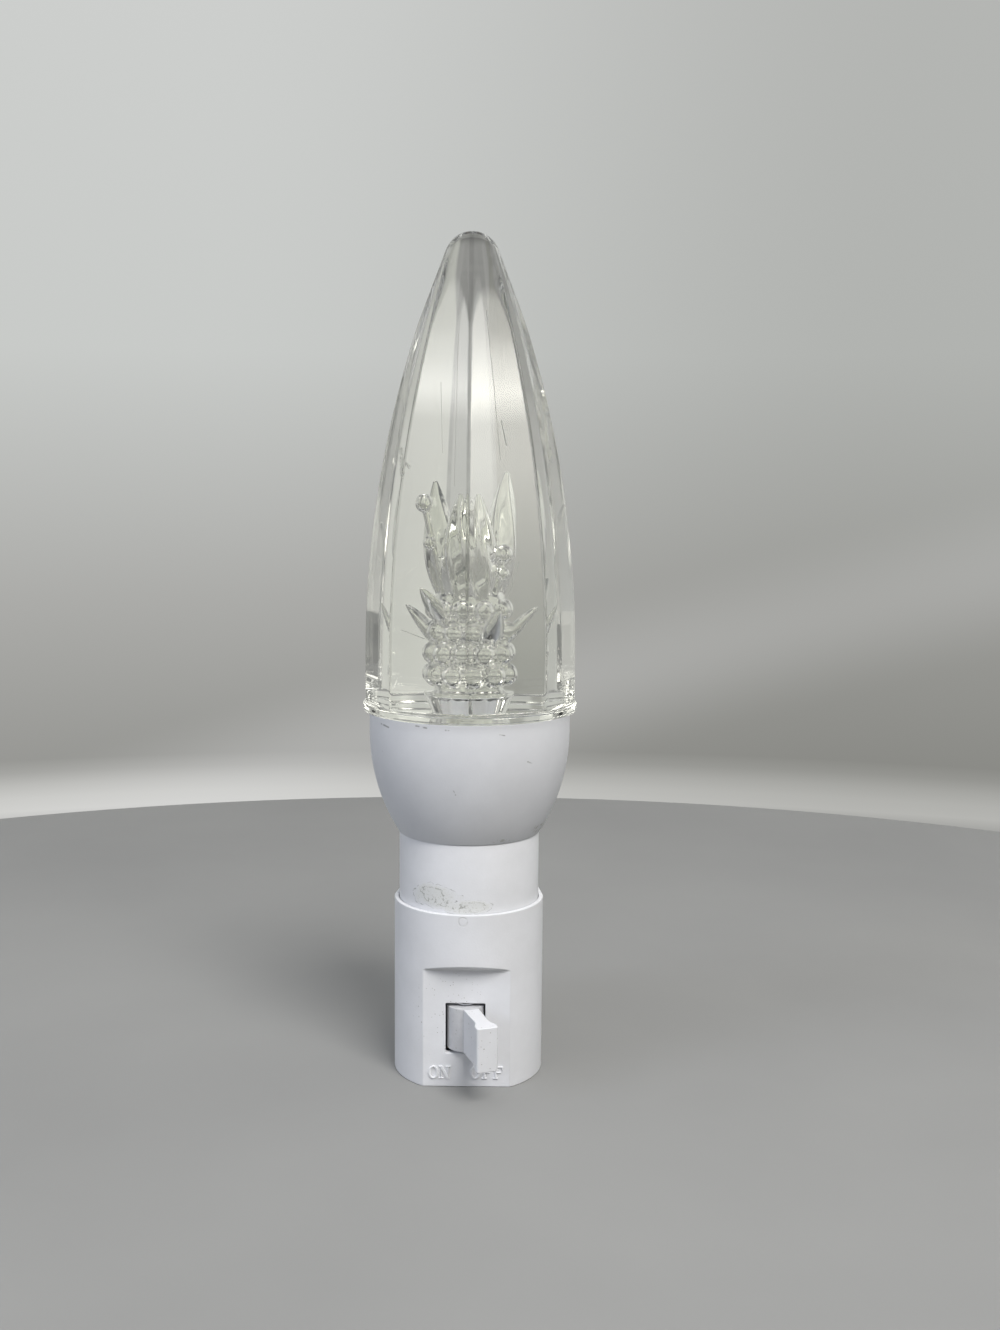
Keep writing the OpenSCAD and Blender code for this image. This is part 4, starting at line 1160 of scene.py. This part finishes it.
def bar(bm, x0, z0, x1, z1, lap=0.0):
    """An upright block on the panel, its front edges drawn in a little so that it looks moulded."""
    def outline(y, inset):
        return [(x0 + inset, y, z0 + inset), (x1 - inset, y, z0 + inset),
                (x1 - inset, y, z1 - inset), (x0 + inset, y, z1 - inset)]

    block(bm, outline(PANEL_FACE, 0), outline(PANEL_FACE - (LETTER_PROUD - lap), LETTER_DRAFT))


def serif(bm, x, z, width=1.0):
    bar(bm, x - width / 2, z - LETTER_HAIR / 2, x + width / 2, z + LETTER_HAIR / 2, 2 * LETTER_LAP)


def letter_o(bm, x, z):
    """A round letter with thick sides and thin top and foot, as in old book type."""
    wide, high = 0.78 * LETTER_HEIGHT, LETTER_HEIGHT
    cx, cz = x + wide / 2, z + high / 2
    rings = []
    for inset, depth in ((0, 0), (0.05, LETTER_PROUD), (0.95, LETTER_PROUD), (1, 0)):
        outline = []
        for a in all_round(40):
            thick = LETTER_HAIR + (LETTER_STEM - LETTER_HAIR) * abs(cos(a)) ** 1.5
            outline.append((cx + (wide / 2 - thick * inset) * cos(a), PANEL_FACE - depth,
                            cz + (high / 2 - thick * inset) * sin(a)))
        rings.append(outline)
    skin(bm, rings + [rings[0]])
    return wide


def letter_n(bm, x, z):
    wide, high = 0.86 * LETTER_HEIGHT, LETTER_HEIGHT
    left, right = x + 0.4, x + wide - 0.4
    for stem in (left, right):
        bar(bm, stem - LETTER_HAIR / 2, z, stem + LETTER_HAIR / 2, z + high)
    half = 0.6 * LETTER_STEM
    corners = [(left - half, z + high), (left + half, z + high), (right + half, z), (right - half, z)]
    back, front = ([(px, y, pz) for px, pz in corners] for y in (PANEL_FACE, PANEL_FACE - LETTER_PROUD + LETTER_LAP))
    block(bm, back, front)
    serif(bm, left, z + 0.1)
    serif(bm, left - 0.1, z + high - 0.1, 0.8)
    serif(bm, right, z + high - 0.1)
    return wide


def letter_f(bm, x, z):
    wide, high = 0.74 * LETTER_HEIGHT, LETTER_HEIGHT
    stem, middle = x + 0.45, z + 0.47 * high
    bar(bm, stem - LETTER_STEM / 2, z, stem + LETTER_STEM / 2, z + high)
    bar(bm, stem, z + high - LETTER_HAIR - 0.03, x + wide, z + high, LETTER_LAP)
    bar(bm, stem, middle, x + wide - 0.35, middle + LETTER_HAIR, LETTER_LAP)
    bar(bm, x + wide - LETTER_HAIR, z + high - 0.75, x + wide, z + high - 0.02)
    serif(bm, stem, z + 0.1, 1.05)
    serif(bm, stem, z + high - 0.1, 1.05)
    return wide


def make_letters(plastic):
    """Raised ON and OFF below the switch, each given as its left edge, the gap between letters, and the letters."""
    bm = bmesh.new()
    for x, gap, word in ((-7.45, 0.12, (letter_o, letter_n)), (0.85, 0.32, (letter_o, letter_f, letter_f))):
        for draw in word:
            one = bmesh.new()
            x += draw(one, x, LETTER_FOOT) + gap
            bmesh.ops.recalc_face_normals(one, faces=one.faces)
            pour(one, bm)
    put(finish_mesh(bm, "switch_letters", 30), "base", plastic)


def make_base():
    shell = white_plastic("base_plastic", WHITE_CLEAN, WHITE_AGED, 0.43, 0.06, base_marks)
    for side in ("front", "back"):
        round_edges(side + "_shell", side + "_moulding", 0.22, "base", shell)
    # the letters' lighter white is a painted highlight
    make_letters(white_plastic("letter_plastic", LETTER_LIT, WHITE_CLEAN, 0.4, 0.04))
    # the lever's material carries dust specks and painted shade on its barrel
    lever = white_plastic("lever_plastic", WHITE_CLEAN, WHITE_AGED, 0.4, 0.08, lever_dust_and_shade)
    round_edges("switch_lever", "lever_moulding", 0.2, "switch", lever)


def make_metal_parts():
    """Contacts, screws, pin, leads and rivets as the CAD has them, blades with rounded edges, and the lamp."""
    brass = metal("pressed_brass", (0.86, 0.66, 0.33), (0.62, 0.45, 0.2), 0.28)
    nickel = metal("plated_blade", (0.77, 0.75, 0.71), (0.6, 0.58, 0.55), 0.2, 70.0)
    steel = metal("zinc_steel", (0.62, 0.62, 0.63), (0.45, 0.45, 0.47), 0.3)
    for nodes, material, slot in (
        (("bridge_contact", "line_contact", "centre_contact", "shell_strap", "rivets"), brass, "brass"),
        (("case_screws", "pivot_pin", "bulb_leads"), steel, "steel"),
    ):
        for node in nodes:
            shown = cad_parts[node]
            shown.data.materials.clear()
            shown.data.materials.append(material)
    for side in ("left", "right"):
        round_edges("blade_" + side, side + "_blade_plated", 0.12, "base", nickel)
    make_lamp(brass, steel)


# ---------------------------------------------------------------- lamp and socket

THREAD_PITCH = 2.54
THREAD_DEPTH = 0.55
THREAD_COUNT = 96          # points round a threaded shell
THREAD_STEP = 0.16         # height between its rings
THREAD_GAP = 0.12          # between the lamp's thread and the socket's
SHELL_WALL = 0.35
SHELL_HOLE = 2.6
SOCKET_WALL = 0.33
SOCKET_HOLE = 4.2
GLASS_WALL = 0.7
NECK_RADIUS = 5.5
BELLY_HEIGHT = 17.0        # from the screw shell up to the glass's widest place
SHOULDER_HEIGHT = 11.0     # from there up to where the tip begins
GLASS_ARC = 22.45          # radius of the glass's side above its widest place
STEM_RADIUS = 1.6
STEM_BEAD = 2.0
FILAMENT_SPAN = 4.2        # half the distance between the leads' ends
FILAMENT_RISE = 2.0
COIL_RADIUS = 0.26
WIRE_RADIUS = 0.075
COIL_TURNS = 30
COIL_POINTS = 14           # points of the wire to a turn
CONTACT_DROP = 0.65        # height of the rounded end of the lamp's contact


def thread_wave(angle, z):
    """1 on the crest and 0 in the root of a right-handed thread."""
    return 0.5 + 0.5 * cos(TURN * z / THREAD_PITCH - angle)


def fade(z, low, high, reach):
    """0 at the ends of low..high and 1 from reach inwards."""
    near = max(0.0, min(1.0, (z - low) / reach, (high - z) / reach))
    return near * near * (3 - 2 * near)


def threaded_rings(low, high, radius):
    """Rings of points between two heights, with the radius given for an angle and a height."""
    count = max(2, ceil((high - low) / THREAD_STEP))
    heights = [low + (high - low) * k / count for k in range(count + 1)]
    return [ring(lambda a, z=z: radius(a, z), z, all_round(THREAD_COUNT)) for z in heights]


def screw_shell(brass):
    low, high = box_mm("bulb_screw_shell")
    root = high.x - THREAD_DEPTH
    floor = low.z + 0.9

    def outer(angle, z):
        return root + THREAD_DEPTH * thread_wave(angle, z) * fade(z, low.z + 0.6, high.z - 0.3, 1.2)

    def inner(angle, z):
        return outer(angle, z) - SHELL_WALL

    rings = lathed([(SHELL_HOLE, floor), (SHELL_HOLE, low.z), (root - 0.35, low.z), (root - 0.12, low.z + 0.1)],
                   THREAD_COUNT)
    rings += threaded_rings(low.z + 0.4, high.z, outer)
    rings += threaded_rings(floor, high.z, inner)[::-1]
    ring_piece("lamp_screw_shell", "bulb_screw_shell", rings, "lamp", brass, 40)


def lamp_socket(brass):
    """The threaded socket, whose flange lies on the deck."""
    low, high = box_mm("socket_shell")
    crest = box_mm("bulb_screw_shell")[1].x + THREAD_GAP
    depth = THREAD_DEPTH - 0.03
    deck = box_mm("collar")[0].z
    flange, flange_top = high.x, deck + 0.4
    outside = crest + SOCKET_WALL

    def inner(angle, z):
        return crest - depth * (1 - thread_wave(angle, z)) * fade(z, low.z + 0.9, high.z - 0.2, 1.4)

    def outer(angle, z):
        return inner(angle, z) + SOCKET_WALL

    rings = lathed([(SOCKET_HOLE, low.z + 0.4), (SOCKET_HOLE, low.z), (outside - 0.3, low.z), (outside, low.z + 0.3)],
                   THREAD_COUNT)
    rings += threaded_rings(low.z + 0.5, deck - 0.1, outer)
    rings += lathed([
        (outside, deck), (flange - 0.1, deck), (flange, deck + 0.1), (flange, flange_top - 0.1),
        (flange - 0.1, flange_top), (outside + 0.1, flange_top), (outside, flange_top + 0.12),
        (outside, high.z - 0.05), (outside - 0.08, high.z), (crest + 0.06, high.z),
    ], THREAD_COUNT)
    rings += threaded_rings(low.z + 0.4, high.z - 0.06, inner)[::-1]
    ring_piece("lamp_socket", "socket_shell", rings, "base", brass, 40)


def glass_path():
    """The lamp's outline from its tip on the axis down to the end of its neck."""
    low, high = box_mm("bulb_glass")
    shell = box_mm("bulb_screw_shell")[1]
    foot, widest = shell.z, high.x
    belly = foot + BELLY_HEIGHT
    across = sqrt(GLASS_ARC ** 2 - SHOULDER_HEIGHT ** 2)
    start = Vector((widest - GLASS_ARC + across, belly + SHOULDER_HEIGHT, 0))
    tip = Vector((0, high.z, 0))
    curve = interpolate_bezier(start, start + Vector((-SHOULDER_HEIGHT / across, 1, 0)) * 5.5,
                               tip + Vector((2.6, 0, 0)), tip, 26)
    path = [(point.x, point.y) for point in curve[::-1]]
    for k in range(1, 17):
        h = SHOULDER_HEIGHT * (1 - k / 16)
        path.append((widest - GLASS_ARC + sqrt(GLASS_ARC ** 2 - h * h), belly + h))
    for k in range(1, 25):
        h = BELLY_HEIGHT * (1 - k / 24)
        path.append((NECK_RADIUS + (widest - NECK_RADIUS) * (1 - cos(pi * h / BELLY_HEIGHT)) / 2, foot + h))
    neck = shell.x - THREAD_DEPTH - SHELL_WALL - 0.05
    return path + [(neck + 0.15, foot - 0.05), (neck, foot - 0.3), (neck, low.z + 0.1), (neck - 0.1, low.z)]


def drawn_in(path, wall):
    """The path moved to its left by wall, for the inner side of a turned shell."""
    moved = []
    for i, (r, z) in enumerate(path):
        before, after = Vector(path[max(i - 1, 0)]), Vector(path[min(i + 1, len(path) - 1)])
        along = (after - before).normalized()
        moved.append((max(r + along.y * wall, 0.0), z - along.x * wall))
    return moved


def envelope_path():
    """Down the outside of the lamp's glass and back up its inside."""
    outside = glass_path()
    inside = drawn_in(outside[:-3], GLASS_WALL)
    inside[0] = (0.0, outside[0][1] - GLASS_WALL)
    inside.append((outside[-2][0] - GLASS_WALL, outside[-1][1]))
    return outside + inside[::-1]


def stem_path():
    """The glass stem, flared at its foot and with a bead on its end."""
    low, high = box_mm("bulb_stem")
    bead = high.z - STEM_BEAD
    path = [(0, low.z + 0.25), (high.x - 0.35, low.z + 0.25), (high.x - 0.2, low.z), (high.x, low.z + 0.15)]
    path += [(STEM_RADIUS + (high.x - STEM_RADIUS) * (1 - k / 12) ** 1.8, low.z + 0.2 + 5.2 * k / 12)
             for k in range(13)]
    join = asin(STEM_RADIUS / STEM_BEAD)
    path += [(STEM_RADIUS, bead - STEM_BEAD * cos(join) - 0.4)]
    path += [(STEM_BEAD * sin(a), bead - STEM_BEAD * cos(a))
             for a in (join + (pi - join) * k / 20 for k in range(21))]
    return path


def insulator_path():
    low, high = box_mm("bulb_insulator")
    path = [(1.25, high.z), (1.25, low.z), (2.2, low.z)]
    path += [(2.3 + (high.x - 2.3) * (k / 12) ** 1.3, low.z + 0.1 + (high.z - low.z - 0.3) * k / 12)
             for k in range(13)]
    return path + [(high.x, high.z - 0.08), (high.x - 0.1, high.z)]


def contact_path():
    """The rounded blob of solder at the lamp's end."""
    low, high = box_mm("bulb_contact")
    arc = (high.x ** 2 + CONTACT_DROP ** 2) / (2 * CONTACT_DROP)
    path = [(r, low.z + arc - sqrt(arc ** 2 - r ** 2)) for r in (high.x * k / 14 for k in range(15))]
    return path + [(high.x - 0.06, low.z + 0.7), (1.2, low.z + 0.7), (1.2, high.z), (0, high.z)]


def draw_coil(tree, given):
    """A wire wound along an arc."""
    run = add(tree, "GeometryNodeSplineParameter")["Factor"]
    lean = (run * 2.0 - 1.0) * given["Half Angle"]
    phase = run * given["Turns"] * TURN
    reach = given["Arc Radius"] + given["Coil Radius"] * maths("COSINE", phase)
    place = add(tree, "ShaderNodeCombineXYZ", reach * maths("SINE", lean),
                given["Coil Radius"] * maths("SINE", phase), given["Arc Centre"] + reach * maths("COSINE", lean))
    line = add(tree, "GeometryNodeCurvePrimitiveLine")
    points = add(tree, "GeometryNodeResampleCurve", Curve=line, Count=COIL_TURNS * COIL_POINTS)
    wire = add(tree, "GeometryNodeSetPosition", points, Position=place)
    section = add(tree, "GeometryNodeCurvePrimitiveCircle", Resolution=8, Radius=given["Wire Radius"])
    return add(tree, "GeometryNodeCurveToMesh", Curve=wire, Profile_Curve=section, Fill_Caps=True)


def wound_filament(material):
    """A coil of fine wire wound along an arc between the leads."""
    low, high = box_mm("bulb_filament")
    arc = (FILAMENT_SPAN ** 2 + FILAMENT_RISE ** 2) / (2 * FILAMENT_RISE)
    top = high.z - (high.y - low.y) / 2
    bm = bmesh.new()
    bm.from_mesh(grown("wound_filament", {
        "Arc Radius": arc, "Half Angle": asin(FILAMENT_SPAN / arc), "Arc Centre": top - arc,
        "Coil Radius": COIL_RADIUS, "Wire Radius": WIRE_RADIUS, "Turns": float(COIL_TURNS),
    }, draw_coil, material))
    bmesh.ops.recalc_face_normals(bm, faces=bm.faces)
    coil = finish_mesh(bm, "lamp_filament", 60)
    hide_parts("bulb_filament")
    put(coil, "lamp", material)


def make_lamp(brass, steel):
    glass = lamp_glass()
    ring_piece("lamp_envelope", "bulb_glass", lathed(envelope_path(), 128), "lamp", glass, 50, False)
    ring_piece("lamp_stem", "bulb_stem", lathed(stem_path(), 72), "lamp", glass, 40, False)
    wound_filament(steel)
    screw_shell(brass)
    lamp_socket(brass)
    ring_piece("lamp_insulator", "bulb_insulator", lathed(insulator_path(), 96), "lamp_end", black_glass(),
               40)
    solder = metal("solder", (0.62, 0.62, 0.62), (0.42, 0.42, 0.43), 0.4)
    ring_piece("lamp_contact", "bulb_contact", lathed(contact_path(), 72), "lamp_end", solder, 50, False)


# ---------------------------------------------------------------- build

SCENE.view_settings.view_transform = "Standard"
SCENE.cycles.max_bounces = 24
SCENE.cycles.transmission_bounces = 20
SCENE.cycles.glossy_bounces = 12
SCENE.cycles.transparent_max_bounces = 24

make_camera()
for lamp in LIGHTS:
    soft_light(*lamp)
make_floor()
make_sky()
make_dome()
make_cup()
make_collar()
make_base()
make_metal_parts()
